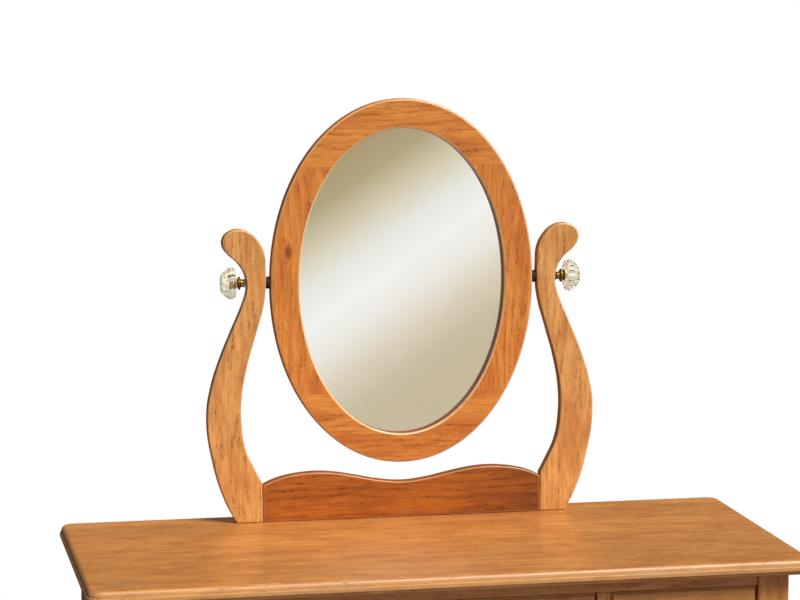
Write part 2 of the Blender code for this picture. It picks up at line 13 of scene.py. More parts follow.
import bmesh
import bpy
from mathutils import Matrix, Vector


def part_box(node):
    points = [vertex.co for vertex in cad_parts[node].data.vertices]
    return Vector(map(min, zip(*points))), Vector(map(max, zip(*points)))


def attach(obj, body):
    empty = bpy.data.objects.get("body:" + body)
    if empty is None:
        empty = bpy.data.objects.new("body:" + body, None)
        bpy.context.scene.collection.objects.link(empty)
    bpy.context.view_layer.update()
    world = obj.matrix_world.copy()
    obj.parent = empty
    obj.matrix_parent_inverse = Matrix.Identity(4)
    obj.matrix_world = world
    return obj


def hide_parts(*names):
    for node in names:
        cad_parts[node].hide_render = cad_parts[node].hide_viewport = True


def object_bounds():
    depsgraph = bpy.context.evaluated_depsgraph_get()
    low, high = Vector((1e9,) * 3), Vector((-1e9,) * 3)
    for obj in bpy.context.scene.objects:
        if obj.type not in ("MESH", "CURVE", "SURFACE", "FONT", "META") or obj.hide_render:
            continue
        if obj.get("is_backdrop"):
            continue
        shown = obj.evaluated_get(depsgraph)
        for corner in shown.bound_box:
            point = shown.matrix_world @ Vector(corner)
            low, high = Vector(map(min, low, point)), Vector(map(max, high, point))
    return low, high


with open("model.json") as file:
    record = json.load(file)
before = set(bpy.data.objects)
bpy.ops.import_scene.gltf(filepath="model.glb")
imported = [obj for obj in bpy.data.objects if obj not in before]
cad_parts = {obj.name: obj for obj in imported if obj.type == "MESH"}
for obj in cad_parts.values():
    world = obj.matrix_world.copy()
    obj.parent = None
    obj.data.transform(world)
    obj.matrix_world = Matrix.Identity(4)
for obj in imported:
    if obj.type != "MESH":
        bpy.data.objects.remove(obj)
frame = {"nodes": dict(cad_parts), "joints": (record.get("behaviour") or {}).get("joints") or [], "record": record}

MM = 0.001
SIDES = {"left": -1, "right": 1}
cad_box = [list(corner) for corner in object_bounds()]
body_of = {node: body for body, nodes in frame["record"]["behaviour"]["bodies"].items() for node in nodes}

# %% [markdown]
# ## The places that everything else is worked out from
#
# The table top's box gives the height that the mirror unit stands on, a post's box gives the plane of the
# mirror unit's boards, and the pivot is a joint of the frame. Reading them here keeps every piece in step
# with the model.

# %% Read the main planes
TOP_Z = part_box("table_top")[1].z
STAND_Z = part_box("post_right")[0].z
POST_FRONT, POST_BACK = (corner.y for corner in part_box("post_right"))
PIVOT = Vector(next(joint["pos_m"] for joint in frame["joints"] if joint["name"] == "mirror_tilt"))
OVAL_BOTTOM, OVAL_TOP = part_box("frame_bottom")[0].z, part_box("frame_top")[1].z
OVAL_Z = (OVAL_TOP + OVAL_BOTTOM) / 2
OVAL = (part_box("frame_right")[1].x, (OVAL_TOP - OVAL_BOTTOM) / 2)  # half its width and half its height
print(f"top {TOP_Z:.3f} m, pivot {PIVOT.z:.4f} m, oval {2 * OVAL[0]:.3f} by {2 * OVAL[1]:.3f} m")

# %% [markdown]
# ## Camera
#
# The view is from the left of the table, a little above the mirror's middle, and from far enough away that
# the oval is hardly distorted, which takes a long lens. The aim point is on the posts' front faces, just
# below the pivots.

# %% Place the camera
AZIMUTH = math.radians(11.5)
ELEVATION = math.radians(7.5)
DISTANCE = 4.2
LENS = 127.8
forward = Vector((
    math.sin(AZIMUTH) * math.cos(ELEVATION),
    math.cos(AZIMUTH) * math.cos(ELEVATION),
    -math.sin(ELEVATION),
))
aim = Vector((-4.4 * MM, POST_FRONT, TOP_Z + 326.75 * MM))
camera = bpy.data.objects.new("camera", bpy.data.cameras.new("camera"))
camera.data.lens = LENS
camera.data.sensor_width = 36
camera.location = aim - DISTANCE * forward
camera.rotation_mode = "QUATERNION"
camera.rotation_quaternion = forward.to_track_quat("-Z", "Y")
bpy.context.scene.collection.objects.link(camera)
bpy.context.scene.camera = camera
print("camera at", [round(value, 3) for value in camera.location])

# %% [markdown]
# ## Colours and nodes
#
# Finishes are matched on a screen, so their colours are sRGB hex values. Blender calculates with
# linear light, and one function turns the first into the second. One more function adds any shader node
# with its settings and links, and gives back the socket to use next. A finish starts from Blender's
# Principled shader, and a shortcut that adds nodes to its own tree comes with it.

# %% Colour and node helpers
def linear(hex_colour):
    """An sRGB hex colour as linear RGBA."""
    parts = [int(hex_colour[i:i + 2], 16) / 255 for i in (1, 3, 5)]
    return [part / 12.92 if part <= 0.04045 else ((part + 0.055) / 1.055) ** 2.4 for part in parts] + [1.0]


def fill(node, inputs):
    """Sets or links a node's inputs, given as a list from the first one on, or by number or name."""
    for key, value in inputs.items() if isinstance(inputs, dict) else enumerate(inputs):
        if isinstance(value, bpy.types.NodeSocket):
            node.id_data.links.new(value, node.inputs[key])
        else:
            node.inputs[key].default_value = value


def add(tree, kind, inputs=(), out=0, stops=(), **settings):
    """Adds a node with its settings and links, and gives back one output. stops fill a colour ramp."""
    made = tree.nodes.new("ShaderNode" + kind)
    for name, value in settings.items():
        setattr(made, name, value)
    fill(made, inputs)
    if stops:
        ramp = made.color_ramp.elements
        while len(ramp) < len(stops):
            ramp.new(0.5)
        for element, (position, colour) in zip(ramp, stops):
            element.position = position
            element.color = linear(colour)
    return made.outputs[out] if made.outputs else made


def new_finish(name, **values):
    """A new material, a shortcut that adds nodes to it, and its Principled shader with those values."""
    made = bpy.data.materials.new(name)
    made.use_nodes = True
    shader = made.node_tree.nodes["Principled BSDF"]
    fill(shader, {socket.replace("_", " "): value for socket, value in values.items()})
    return made, partial(add, made.node_tree), shader


# %% [markdown]
# ## Golden oak
#
# Red oak is ring porous. Each year's growth starts with a band of wide open pores, the early wood, and ends
# with dense smooth late wood. A saw cuts those rings at a slant, so a board shows long arches. The pores,
# cut along their length, are short dark dashes that take more of the stain, and a satin lacquer lies over
# everything without quite filling them.
#
# The grain could be a picture of oak laid on each board. It is worked out instead: for each point of a board
# the shader asks how far it is from the middle of the tree, so the arches, the end grain and the edges all
# agree, as they do in solid wood. Every board gets its own place in its own tree.
#
# Real pores are about 0.3 mm wide, too fine for this view, and real rings are about 2 mm apart. Both are
# drawn coarser: rings 6 mm apart, and a pore for every 1.3 by 8 mm, which in the early wood comes out about
# 0.9 mm wide and 6 mm long.

# %% Where a point lies in the tree
def grown_coordinates(make, order, shift):
    """Places in mm as (across the board, through it, along the grain), moved to another part of the tree."""
    in_mm = make("VectorMath", {0: make("TexCoord", out=3), "Scale": 1000.0}, operation="SCALE")
    axes = make("SeparateXYZ", [in_mm]).node.outputs
    board = make("CombineXYZ", [axes[axis] for axis in order])
    return make("VectorMath", (board, shift), operation="ADD")


def along_grain(make, kind, board, across, along, out=0, **values):
    """A texture drawn out along the grain, so that its pattern is `across` mm wide and `along` mm long."""
    place = make("Mapping", {0: board, 3: (1 / across, 1 / across, 1 / along)})
    return make(kind, {"Vector": place, "Scale": 1.0, **values}, out=out)


def glued_up(make, board, stave):
    """The boards of a wide panel, each moved to its own place in the tree, and a random value for each."""
    across = make("SeparateXYZ", [board])
    count = make("Math", (make("Math", (across, stave), operation="DIVIDE"),), operation="FLOOR")
    sideways = make("Math", (count, 167.0), operation="MULTIPLY")
    endways = make("Math", (count, 913.0), operation="MULTIPLY")
    moved = make("CombineXYZ", {0: sideways, 2: endways})
    own_tone = make("TexWhiteNoise", {"W": count}, noise_dimensions="1D")
    return make("VectorMath", (board, moved), operation="ADD"), own_tone


def knot_distance(make, board, across, along):
    """How far a point is from a knot, in mm. Knots are twice as long as they are wide."""
    apart = make("VectorMath", (board, (across, 0, along)), operation="SUBTRACT")
    apart = make("VectorMath", (apart, (1, 0, 0.5)), operation="MULTIPLY")
    return make("VectorMath", [apart], out=1, operation="LENGTH")


# %% [markdown]
# The finish itself is built in the order in which the colour comes about. The distance from the heart of
# the tree gives the rings. The fibres and the rings choose between late and early wood, broad clouds add a
# redder blush, and the pores are dark dashes on top. Recesses get painted shade: a browner colour, and
# less gloss and lacquer. The eased edges are rubbed pale by handling, and the same pale marks are also
# painted highlight lines along them. At last the pores and the fibres roughen the lacquer a little and sink
# into it.

# %% Oak, cut from a tree
RING = 6.0  # mm of growth a year, wide for oak, so that the arches show
PORE_WIDE, PORE_LONG = 1.3, 8.0
GROWN_ALONG = 731.0  # mm from one board to the next, along the tree
# The second colour is painted shade in recesses. The third is pale wear on eased edges and, with it, painted
# highlight lines.
KNOT_RED, PAINTED_SHADE_BROWN, PALE_WEAR_AND_HIGHLIGHT = "#7a2c10", "#58240f", "#f6cc94"


def oak(name, order, seed, late, early, blush, pore, heart=(0.0, -46.0), knot=None, deepen=None, stave=None):
    """Lacquered oak. order is across, through, along. heart is where the middle of the tree lies, in mm, in
    the board's own across and through directions, and knot is (across, along) in mm. deepen is (axis, from,
    to, amount). stave is the width, in mm, of the boards that a wide panel is glued up from."""
    finish, make, shader = new_finish(name, IOR=1.45, Coat_Roughness=0.22, Coat_IOR=1.45)
    board = grown_coordinates(make, order, (0, 0, seed * GROWN_ALONG))
    if stave:
        board, own_tone = glued_up(make, board, stave)

    drift = along_grain(make, "TexNoise", board, 70, 420, out=1, Detail=3.0)
    drift = make("VectorMath", (drift, (0.5, 0.5, 0.5)), operation="SUBTRACT")
    drift = make("VectorMath", {0: drift, "Scale": 34.0}, operation="SCALE")
    from_heart = make("VectorMath", (board, (*heart, 0)), operation="SUBTRACT")
    from_heart = make("VectorMath", (from_heart, drift), operation="ADD")
    from_heart = make("VectorMath", (from_heart, (1, 1, 0)), operation="MULTIPLY")
    radius = make("VectorMath", [from_heart], out=1, operation="LENGTH")
    if knot:
        to_knot = knot_distance(make, board, knot[0], knot[1] + seed * GROWN_ALONG)
        swell = make("MapRange", (to_knot, 0.0, 15.0, 9.0, 0.0), interpolation_type="SMOOTHERSTEP")
        radius = make("Math", (radius, swell), operation="ADD")
    ring = make("Math", (make("Math", (radius, RING), operation="DIVIDE"),), operation="FRACT")
    early_wood = make("ValToRGB", [ring], stops=[
        (0.0, "#ffffff"), (0.22, "#e6e6e6"), (0.46, "#404040"), (0.75, "#161616"), (0.93, "#282828"),
        (1.0, "#ffffff"),
    ])

    fibre = along_grain(make, "TexNoise", board, 2.0, 46, Detail=4.0)
    flecks = along_grain(make, "TexNoise", board, 4.5, 26, Detail=3.0)
    cloud = along_grain(make, "TexNoise", board, 24, 90, Detail=3.0)

    # Pores are open in the early wood, nearly closed in the late wood, and missing in places.
    cells = along_grain(make, "TexVoronoi", board, PORE_WIDE, PORE_LONG)
    opening = make("MapRange", (early_wood, 0.0, 1.0, 0.19, 0.38))
    gathered = make("MapRange", (flecks, 0.32, 0.68, -0.2, 0.14))
    opening = make("Math", (opening, gathered), operation="ADD")
    depth = make("Math", (opening, cells), operation="SUBTRACT")
    pores = make("MapRange", (depth, 0.0, 0.15, 0.0, 1.0))

    streak = make("MapRange", (fibre, 0.34, 0.66, 0.0, 0.46))
    ringed = make("Math", (early_wood, 0.34), operation="MULTIPLY")
    darker = make("Math", (ringed, streak), operation="ADD")
    redder = make("MapRange", (cloud, 0.46, 0.62, 0.0, 0.55))
    wood = linear(late)
    for share, colour in ((darker, early), (redder, blush)):
        wood = make("Mix", {0: share, 6: wood, 7: linear(colour)}, out=2, data_type="RGBA")

    tones = [
        make("MapRange", (flecks, 0.68, 0.32, 0.88, 1.1)),
        make("MapRange", (cloud, 0.3, 0.7, 1.08, 0.92)),
    ]
    # deepen makes the wood darker towards one end along an axis. On the mirror rail that is painted shadow; on the
    # frame's bottom segment it is darker towards the bottom.
    if deepen:
        axis, start, end, amount = deepen
        along_axis = make("SeparateXYZ", [make("TexCoord", out=3)]).node.outputs[axis]
        tones.append(make("MapRange", (along_axis, start, end, 1.0, 1.0 - amount)))
    if stave:
        tones.append(make("MapRange", (own_tone, 0.0, 1.0, 0.9, 1.08)))
    for tone in tones:
        wood = make("VectorMath", {0: wood, "Scale": tone}, operation="SCALE")

    # recess is painted shade: hollows turn browner and lose gloss and lacquer. edge is pale wear mixed with
    # painted highlight lines on the eased edges.
    recess = make("Attribute", out=2, attribute_name="recess")
    edge = make("Attribute", out=2, attribute_name="edge")
    layers = [(make("Math", (pores, 0.8), operation="MULTIPLY"), pore)]
    if knot:
        core = make("MapRange", (to_knot, 1.5, 8.0, 0.8, 0.0), interpolation_type="SMOOTHSTEP")
        layers.append((core, KNOT_RED))
    layers.append((recess, PAINTED_SHADE_BROWN))
    layers.append((make("Math", (edge, cloud), operation="MULTIPLY"), PALE_WEAR_AND_HIGHLIGHT))
    for share, colour in layers:
        wood = make("Mix", {0: share, 6: wood, 7: linear(colour)}, out=2, data_type="RGBA")

    pore_gloss = make("MapRange", (pores, 0.0, 1.0, 0.36, 0.64))
    cloud_gloss = make("MapRange", (cloud, 0.3, 0.7, -0.03, 0.04))
    relief = make("Math", (make("Math", (fibre, 0.25), operation="MULTIPLY"), pores), operation="SUBTRACT")
    bump = make("Bump", {"Strength": 0.3, "Distance": 0.15 * MM, "Height": relief})
    fill(shader, {
        "Base Color": wood,
        "Roughness": make("Math", (pore_gloss, cloud_gloss), operation="ADD"),
        "Specular IOR Level": make("MapRange", (recess, 0.0, 1.0, 0.5, 0.05)),
        "Coat Weight": make("MapRange", (recess, 0.0, 1.0, 0.22, 0.0)),
        "Normal": bump,
        "Coat Normal": bump,
    })
    return finish


FRAME_TONE = dict(late="#ec9b45", early="#c66a22", blush="#d26a25", pore="#74330c")
POST_TONE = dict(late="#efb168", early="#cb8743", blush="#cf7f3c", pore="#7d4617")
RAIL_TONE = dict(late="#c66f20", early="#89420c", blush="#a24d13", pore="#3a1803")
TABLE_TONE = dict(late="#e09a52", early="#b8702e", blush="#c5742f", pore="#6f3a15")
print("oak is ready, with a ring every", RING, "mm")

# %% [markdown]
# ## Pale drawer wood
#
# Drawer boxes and runners are made of a plain, close-grained wood such as poplar, only sanded. It has no
# open pores, so it shows soft streaks along the grain and a dry, matte face. The fibres are drawn 0.9 mm
# wide. Real ones are some 0.03 mm wide, which no view of a whole table could show.

# %% Sanded poplar
def poplar(name, order, seed):
    finish, make, shader = new_finish(name, IOR=1.5)
    board = grown_coordinates(make, order, (seed * 57.0, 0, seed * 411.0))
    rings = along_grain(make, "TexNoise", board, 14, 330, Detail=4.0)
    fibre = along_grain(make, "TexNoise", board, 0.9, 60, Detail=2.0)
    wood = make("ValToRGB", [rings], stops=[
        (0.25, "#cdb487"), (0.45, "#e0cb9f"), (0.6, "#d3b98a"), (0.75, "#b9a072"),
    ])
    value = make("MapRange", (fibre, 0.3, 0.7, 0.88, 1.08))
    fill(shader, {
        "Base Color": make("VectorMath", {0: wood, "Scale": value}, operation="SCALE"),
        "Roughness": make("MapRange", (fibre, 0.0, 1.0, 0.55, 0.72)),
        "Normal": make("Bump", {"Strength": 0.25, "Distance": 0.1 * MM, "Height": fibre}),
    })
    return finish


# %% [markdown]
# ## Hardboard
#
# The backing behind the glass and the drawer bottoms are pressed wood fibre: dark brown, smooth on one face,
# with short fibres lying every way. Two noises, one fine and one broad, give the fibres and the slow change
# of colour over a sheet. Places are in metres, so a noise's scale is the number of its features in a metre:
# 900 makes fibres about 1 mm across, and 14 makes clouds of some 70 mm.

# %% Pressed fibre board
def hardboard():
    finish, make, shader = new_finish("pressed_hardboard", IOR=1.5)
    place = make("TexCoord", out=3)
    fibres = make("TexNoise", {"Vector": place, "Scale": 900.0, "Detail": 4.0, "Distortion": 1.2})
    sheet = make("TexNoise", {"Vector": place, "Scale": 14.0, "Detail": 3.0})
    brown = make("ValToRGB", [fibres], stops=[(0.3, "#5d3d27"), (0.52, "#7a5436"), (0.72, "#99714c")])
    value = make("MapRange", (sheet, 0.3, 0.7, 0.85, 1.1))
    fill(shader, {
        "Base Color": make("VectorMath", {0: brown, "Scale": value}, operation="SCALE"),
        "Roughness": make("MapRange", (fibres, 0.0, 1.0, 0.5, 0.72)),
        "Normal": make("Bump", {"Strength": 0.2, "Distance": 0.1 * MM, "Height": fibres}),
    })
    return finish


HARDBOARD = hardboard()

# %% [markdown]
# ## Silvered glass
#
# A mirror is float glass with silver behind it. To the eye it is a perfect reflector with a trace of green
# from the glass. A metal with almost no roughness does that; a very faint haze where it has been wiped
# keeps the reflection from being perfect everywhere.

# %% Mirror
def silvered_glass():
    finish, make, shader = new_finish("silvered_float_glass", Metallic=1.0)
    place = make("TexCoord", out=3)
    wiped = make("TexNoise", {"Vector": place, "Scale": 9.0, "Detail": 5.0, "Distortion": 1.5})
    fill(shader, {
        "Base Color": make("ValToRGB", [wiped], stops=[(0.3, "#fafbf9"), (0.7, "#fdfdfc")]),
        "Roughness": make("MapRange", (wiped, 0.4, 0.8, 0.004, 0.018)),
    })
    return finish


MIRROR = silvered_glass()

# %% [markdown]
# ## Pressed glass, brass, steel and the friction washers
#
# The knobs are clear soda glass with a warm, slightly smoky tint that shows where the light takes a long way
# through them. Their seats are turned brass gone dull, darker in the grooves. The clips and screws are zinc
# plated steel, and the washers that make the mirror stay where it is put are dark fibre.

# %% Glass and metals
def pressed_glass():
    finish, make, shader = new_finish(
        "pressed_glass", Transmission_Weight=1.0, IOR=1.52, Base_Color=linear("#f3ead0"),
    )
    place = make("TexCoord", out=3)
    skin = make("TexNoise", {"Vector": place, "Scale": 160.0, "Detail": 3.0})
    wave = make("TexNoise", {"Vector": place, "Scale": 70.0, "Detail": 1.0})
    fill(shader, {
        "Roughness": make("MapRange", (skin, 0.0, 1.0, 0.0, 0.09)),
        "Normal": make("Bump", {"Strength": 0.35, "Distance": 0.4 * MM, "Height": wave}),
    })
    return finish


def dull_metal(name, bright, dark, roughness, grain):
    """A metal whose tarnish lies in clouds. grain is the size of its finest marks, in mm."""
    finish, make, shader = new_finish(name, Metallic=1.0)
    place = make("TexCoord", out=3)
    clouds = make("TexNoise", {"Vector": place, "Scale": 130.0, "Detail": 5.0})
    marks = make("TexNoise", {"Vector": place, "Scale": 1 / (grain * MM), "Detail": 2.0})
    fill(shader, {
        "Base Color": make("ValToRGB", [clouds], stops=[(0.35, dark), (0.62, bright)]),
        "Roughness": make("MapRange", (clouds, 0.3, 0.7, roughness + 0.14, roughness - 0.06)),
        "Normal": make("Bump", {"Strength": 0.15, "Distance": 0.05 * MM, "Height": marks}),
    })
    return finish


def fibre_washer():
    finish, make, shader = new_finish("brown_fibre_washer", IOR=1.35)
    place = make("TexCoord", out=3)
    flecks = make("TexNoise", {"Vector": place, "Scale": 1400.0, "Detail": 2.0})
    fill(shader, {
        "Base Color": make("ValToRGB", [flecks], stops=[(0.35, "#170d0a"), (0.7, "#38221a")]),
        "Roughness": make("MapRange", (flecks, 0.0, 1.0, 0.6, 0.8)),
        "Normal": make("Bump", {"Strength": 0.3, "Distance": 0.05 * MM, "Height": flecks}),
    })
    return finish


GLASS = pressed_glass()
BRASS = dull_metal("dulled_turned_brass", "#b89a5e", "#5b4523", 0.30, 0.5)
STEEL = dull_metal("zinc_plated_steel", "#c4c4bf", "#8d8e8a", 0.36, 0.3)
WASHER = fibre_washer()
print("finishes:", ", ".join(finish.name for finish in (HARDBOARD, MIRROR, GLASS, BRASS, STEEL, WASHER)))

# %% [markdown]
# ## Hanging a piece on the frame
#
# Every piece rides on a body of the frame and stands for the plain node whose shape it refines. Flat faces
# next to rounded edges need their own normals, or they look blown up like a cushion: the Weighted Normal
# modifier keeps the large faces flat.

# %% Attach a finished mesh
def piece(name, mesh, material, nodes=(), body=None):
    """Makes the mesh an object on the body of the nodes that it stands for, or on the body named."""
    obj = bpy.data.objects.new(name, mesh)
    bpy.context.scene.collection.objects.link(obj)
    mesh.materials.clear()
    mesh.materials.append(material)
    mesh.shade_smooth()
    mesh.set_sharp_from_angle(angle=math.radians(38))
    obj.modifiers.new("flat_faces", "WEIGHTED_NORMAL").keep_sharp = True
    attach(obj, body or body_of[nodes[0]])
    if nodes:
        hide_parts(*nodes)
    return obj


def mesh_of(shape, name):
    """The bmesh as a mesh, its normals facing out."""
    bmesh.ops.recalc_face_normals(shape, faces=shape.faces)
    mesh = bpy.data.meshes.new(name)
    shape.to_mesh(mesh)
    shape.free()
    return mesh


def new_shape():
    """An empty bmesh whose vertices can say that they lie on an eased edge, painted with pale wear and highlight,
    or in a recess, painted with shade.
    """
    shape = bmesh.new()
    shape.verts.layers.float.new("edge")
    shape.verts.layers.float.new("recess")
    return shape


def mark(shape, layer_name, vertices, amount=0.5):
    """Sets an attribute that the oak finish reads: "edge" is rubbed pale and given a painted highlight, "recess"
    is given painted shade.
    """
    layer = shape.verts.layers.float[layer_name]
    for vertex in vertices:
        vertex[layer] = amount


# %% [markdown]
# ## Straight boards
#
# Aprons, rails and runners are planed boards. A planer leaves sharp arrises, and a maker takes them off with
# sandpaper, so each edge is a small quarter round. A Bevel on a cube would do; here the corners are eased
# in code, so that the same pass can mark the edges for the finish.

# %% Planed boards with eased edges
def eased_box(shape, low, high, ease, steps=3):
    """Adds a box with rounded edges to the bmesh."""
    made = bmesh.ops.create_cube(shape, size=1.0)["verts"]
    for vertex in made:
        vertex.co = [a if c < 0 else b for a, b, c in zip(low, high, vertex.co)]
    edges = {edge for vertex in made for edge in vertex.link_edges}
    bmesh.ops.bevel(
        shape, geom=list(edges), offset=ease, segments=steps, affect="EDGES", profile=0.5, clamp_overlap=True
    )


def on_face(vertex, low, high, slack=0.02 * MM):
    """Whether the vertex lies on one of the box's six faces."""
    return any(abs(vertex.co[i] - end[i]) < slack for i in range(3) for end in (low, high))


def planed_board(node, material, ease=1.2 * MM):
    """A board as large as the node that it stands for."""
    low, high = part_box(node)
    shape = new_shape()
    eased_box(shape, low, high, ease)
    mark(shape, "edge", [vertex for vertex in shape.verts if not on_face(vertex, low, high)])
    return piece(node + "_board", mesh_of(shape, node + "_board"), material, [node])


# %% [markdown]
# ### Rails, partitions and runners
#
# Each board is cut from a new place in its tree, so a running number goes into its finish. How the grain
# lies is said by an order of axes: across the board, through it, and along it.

# %% Rails, partitions and runners
SERIES = {"seed": 0}


def next_seed():
    """Each board is cut from a new place in the tree."""
    SERIES["seed"] += 1
    return SERIES["seed"]


ALONG_X_FACING_Y = "ZYX"
ALONG_Z_FACING_Y = "XYZ"
ALONG_X_FACING_Z = "YZX"
ALONG_Y_FACING_X = "ZXY"

table_oak = oak("golden_oak_rails", ALONG_X_FACING_Y, next_seed(), heart=(640.0, 150.0), **TABLE_TONE)
back_oak = oak("golden_oak_back", ALONG_X_FACING_Y, next_seed(), heart=(690.0, 120.0), **TABLE_TONE)
planed_board("front_top_rail", table_oak)
planed_board("back_apron", back_oak)
partition_oak = oak("golden_oak_partitions", ALONG_Z_FACING_Y, next_seed(), **TABLE_TONE)
runner_wood = poplar("sanded_poplar_runners", ALONG_Y_FACING_X, next_seed())
for side in SIDES:
    planed_board(f"partition_{side}", partition_oak)
    planed_board(f"middle_runner_{side}", runner_wood)
    planed_board(f"side_runner_{side}", runner_wood)
print("rails, back apron, partitions and runners are in place")

# %% [markdown]
# ## Boards sawn to a line
#
# The posts, the mirror rail, the side aprons and the scalloped front rail are band sawn from flat boards and
# then rounded over with a router bit. The line is a smooth curve through a few points, with sharp corners
# where the sawyer stopped. A curve object finds the points in between. A Bevel modifier could round the
# rims, but here the outline is carried through a profile with a quarter round at each face, so that the rims
# are known and can be marked for the finish.

# %% Sawn lines
def sawn_line(points, steps=9):
    """Points along a closed smooth line through (x, z) in mm. A third item, "corner", makes a sharp turn."""
    curve = bpy.data.curves.new("line", "CURVE")
    curve.dimensions = "3D"
    curve.resolution_u = steps
    spline = curve.splines.new("BEZIER")
    spline.bezier_points.add(len(points) - 1)
    for knot, point in zip(spline.bezier_points, points):
        handle = "VECTOR" if len(point) == 3 else "AUTO"
        knot.co = (point[0] * MM, point[1] * MM, 0)
        knot.handle_left_type = handle
        knot.handle_right_type = handle
    spline.use_cyclic_u = True
    guide = bpy.data.objects.new("line", curve)
    bpy.context.scene.collection.objects.link(guide)
    bpy.context.view_layer.update()
    drawn = guide.evaluated_get(bpy.context.evaluated_depsgraph_get()).to_mesh()
    line = [vertex.co.xy for vertex in drawn.vertices]
    line = [here for here, after in zip(line, line[1:] + line[:1]) if (after - here).length > 0.05 * MM]
    bpy.data.objects.remove(guide)
    return line


def inset(line, distance):
    """The closed line moved inwards, each corner along its mitre."""
    points = [Vector(point) for point in line]
    ahead = points[1:] + points[:1]
    area = sum(here.x * after.y - here.y * after.x for here, after in zip(points, ahead))
    inwards = math.copysign(distance, area)
    moved = []
    for before, here, after in zip(points[-1:] + points[:-1], points, ahead):
        arriving, leaving = (here - before).normalized(), (after - here).normalized()
        mean = (arriving + leaving).normalized()
        mitre = mean.dot(leaving)
        moved.append(here + Vector((-mean.y, mean.x)) * inwards / mitre)
    return moved


def loft(shape, rings, ends="capped"):
    """Joins rings of points with strips of faces. The ends are capped, or joined to make a hollow ring."""
    rows = [[shape.verts.new(point) for point in ring] for ring in rings]
    if ends == "joined":
        rows.append(rows[0])
    for near, far in zip(rows, rows[1:]):
        for i in range(len(near)):
            j = (i + 1) % len(near)
            shape.faces.new((near[i], near[j], far[j], far[i]))
    if ends == "capped":
        shape.faces.new(rows[0])
        shape.faces.new(rows[-1])
    return rows


# %% [markdown]
# A board's edge is a list of (inset, depth) pairs, and the outline is drawn once for each of them. FACING
# turns the outline's own two directions and the depth into a place in the room.

# %% Boards drawn through a profile
def eased_profile(thick, ease, steps=4):
    """(inset, depth) over a board's edge, from one face to the other, with a quarter round at each."""
    turns = [math.pi / 2 * i / steps for i in range(steps + 1)]
    front = [(ease * (1 - math.sin(turn)), ease * (1 - math.cos(turn))) for turn in turns]
    return front + [(aside, thick - depth) for aside, depth in reversed(front)]


def slab(shape, line, low, profile, point):
    """Lofts the line through the profile. point(first, up, depth) gives a place in space."""
    return loft(shape, [
        [point(first, up, low + depth) for first, up in inset(line, aside)] for aside, depth in profile
    ])


FACING = {
    "Y": lambda first, up, depth: (first, depth, up),
    "X": lambda first, up, depth: (depth, first, up),
    "Z": lambda first, up, depth: (first, up, depth),
}


def sawn_board(name, line, low, high, facing, ease, node, material):
    """A board of that outline between two depths, its rims rounded over and marked for the finish."""
    shape = new_shape()
    rows = slab(shape, line, low, eased_profile(high - low, ease), FACING[facing])
    mark(shape, "edge", [vertex for row in rows[1:4] + rows[-4:-1] for vertex in row])
    return piece(name, mesh_of(shape, name), material, [node])


# %% [markdown]
# ### The two posts
#
# Each post is one board. Its foot curves out like the side of a lyre, draws in to a waist where the pivot
# goes through, and ends in a curl that turns outwards. The grain runs up the board.

# %% Lyre posts
POST_LINE = [
    (211, 0, "corner"), (250, 0, "corner"), (265.5, 30), (284, 90), (292.5, 158), (286, 203),
    (271, 249), (253, 292), (240.5, 321), (233.2, 345), (234.6, 366), (245, 385), (259.5, 398.5),
    (267.8, 411), (266, 425), (256, 433.3), (245, 435.8), (229, 431.5), (214, 417), (206, 399),
    (204.4, 376), (204.4, 350), (208.5, 320), (219.5, 281), (233.5, 231), (241, 188), (241.8, 150),
    (235.5, 109), (221.5, 78), (211.5, 59, "corner"),
]
for side_name, side in SIDES.items():
    wood = oak(
        f"golden_oak_post_{side_name}", ALONG_Z_FACING_Y, next_seed(),
        heart=(side * 262.0, 118.0), **POST_TONE,
    )
    line = [(side * x, z + STAND_Z) for x, z in sawn_line(POST_LINE)]
    sawn_board(
        f"lyre_post_{side_name}", line, POST_FRONT, POST_BACK, "Y", 2.6 * MM, f"post_{side_name}", wood,
    )

# %% [markdown]
# ### The scalloped rail
#
# The rail joins the posts' feet. Its top edge rises in two soft waves with a dip between them. It took the
# stain darker overall, and painted shadow makes it darker still towards its right end.

# %% Mirror rail
RAIL_WAVE = [(36, 56.9), (73, 64.4), (103, 69.8), (128, 71.8), (152, 70.8), (177, 67), (197, 61)]
RAIL_REACH, RAIL_END = 210.7, 54.6
rail_line = (
    [(-RAIL_REACH, 0, "corner"), (RAIL_REACH, 0, "corner"), (RAIL_REACH, RAIL_END, "corner")]
    + RAIL_WAVE[::-1] + [(0, 53.4)] + [(-x, z) for x, z in RAIL_WAVE]
    + [(-RAIL_REACH, RAIL_END, "corner")]
)
# deepen here is painted shadow: the rail gets darker towards its right end.
rail_oak = oak(
    "golden_oak_mirror_rail", ALONG_X_FACING_Y, next_seed(), heart=(TOP_Z / MM + 20, 126.0),
    deepen=("X", 0.03, 0.21, 0.42), **RAIL_TONE,
)
sawn_board(
    "scalloped_mirror_rail", [(x, z + STAND_Z) for x, z in sawn_line(rail_line)],
    POST_FRONT, POST_BACK, "Y", 2.4 * MM, "mirror_rail", rail_oak,
)

# %% [markdown]
# ### Aprons of the table
#
# The front rail repeats the mirror rail's waves upside down, and the side aprons have one low arch each.

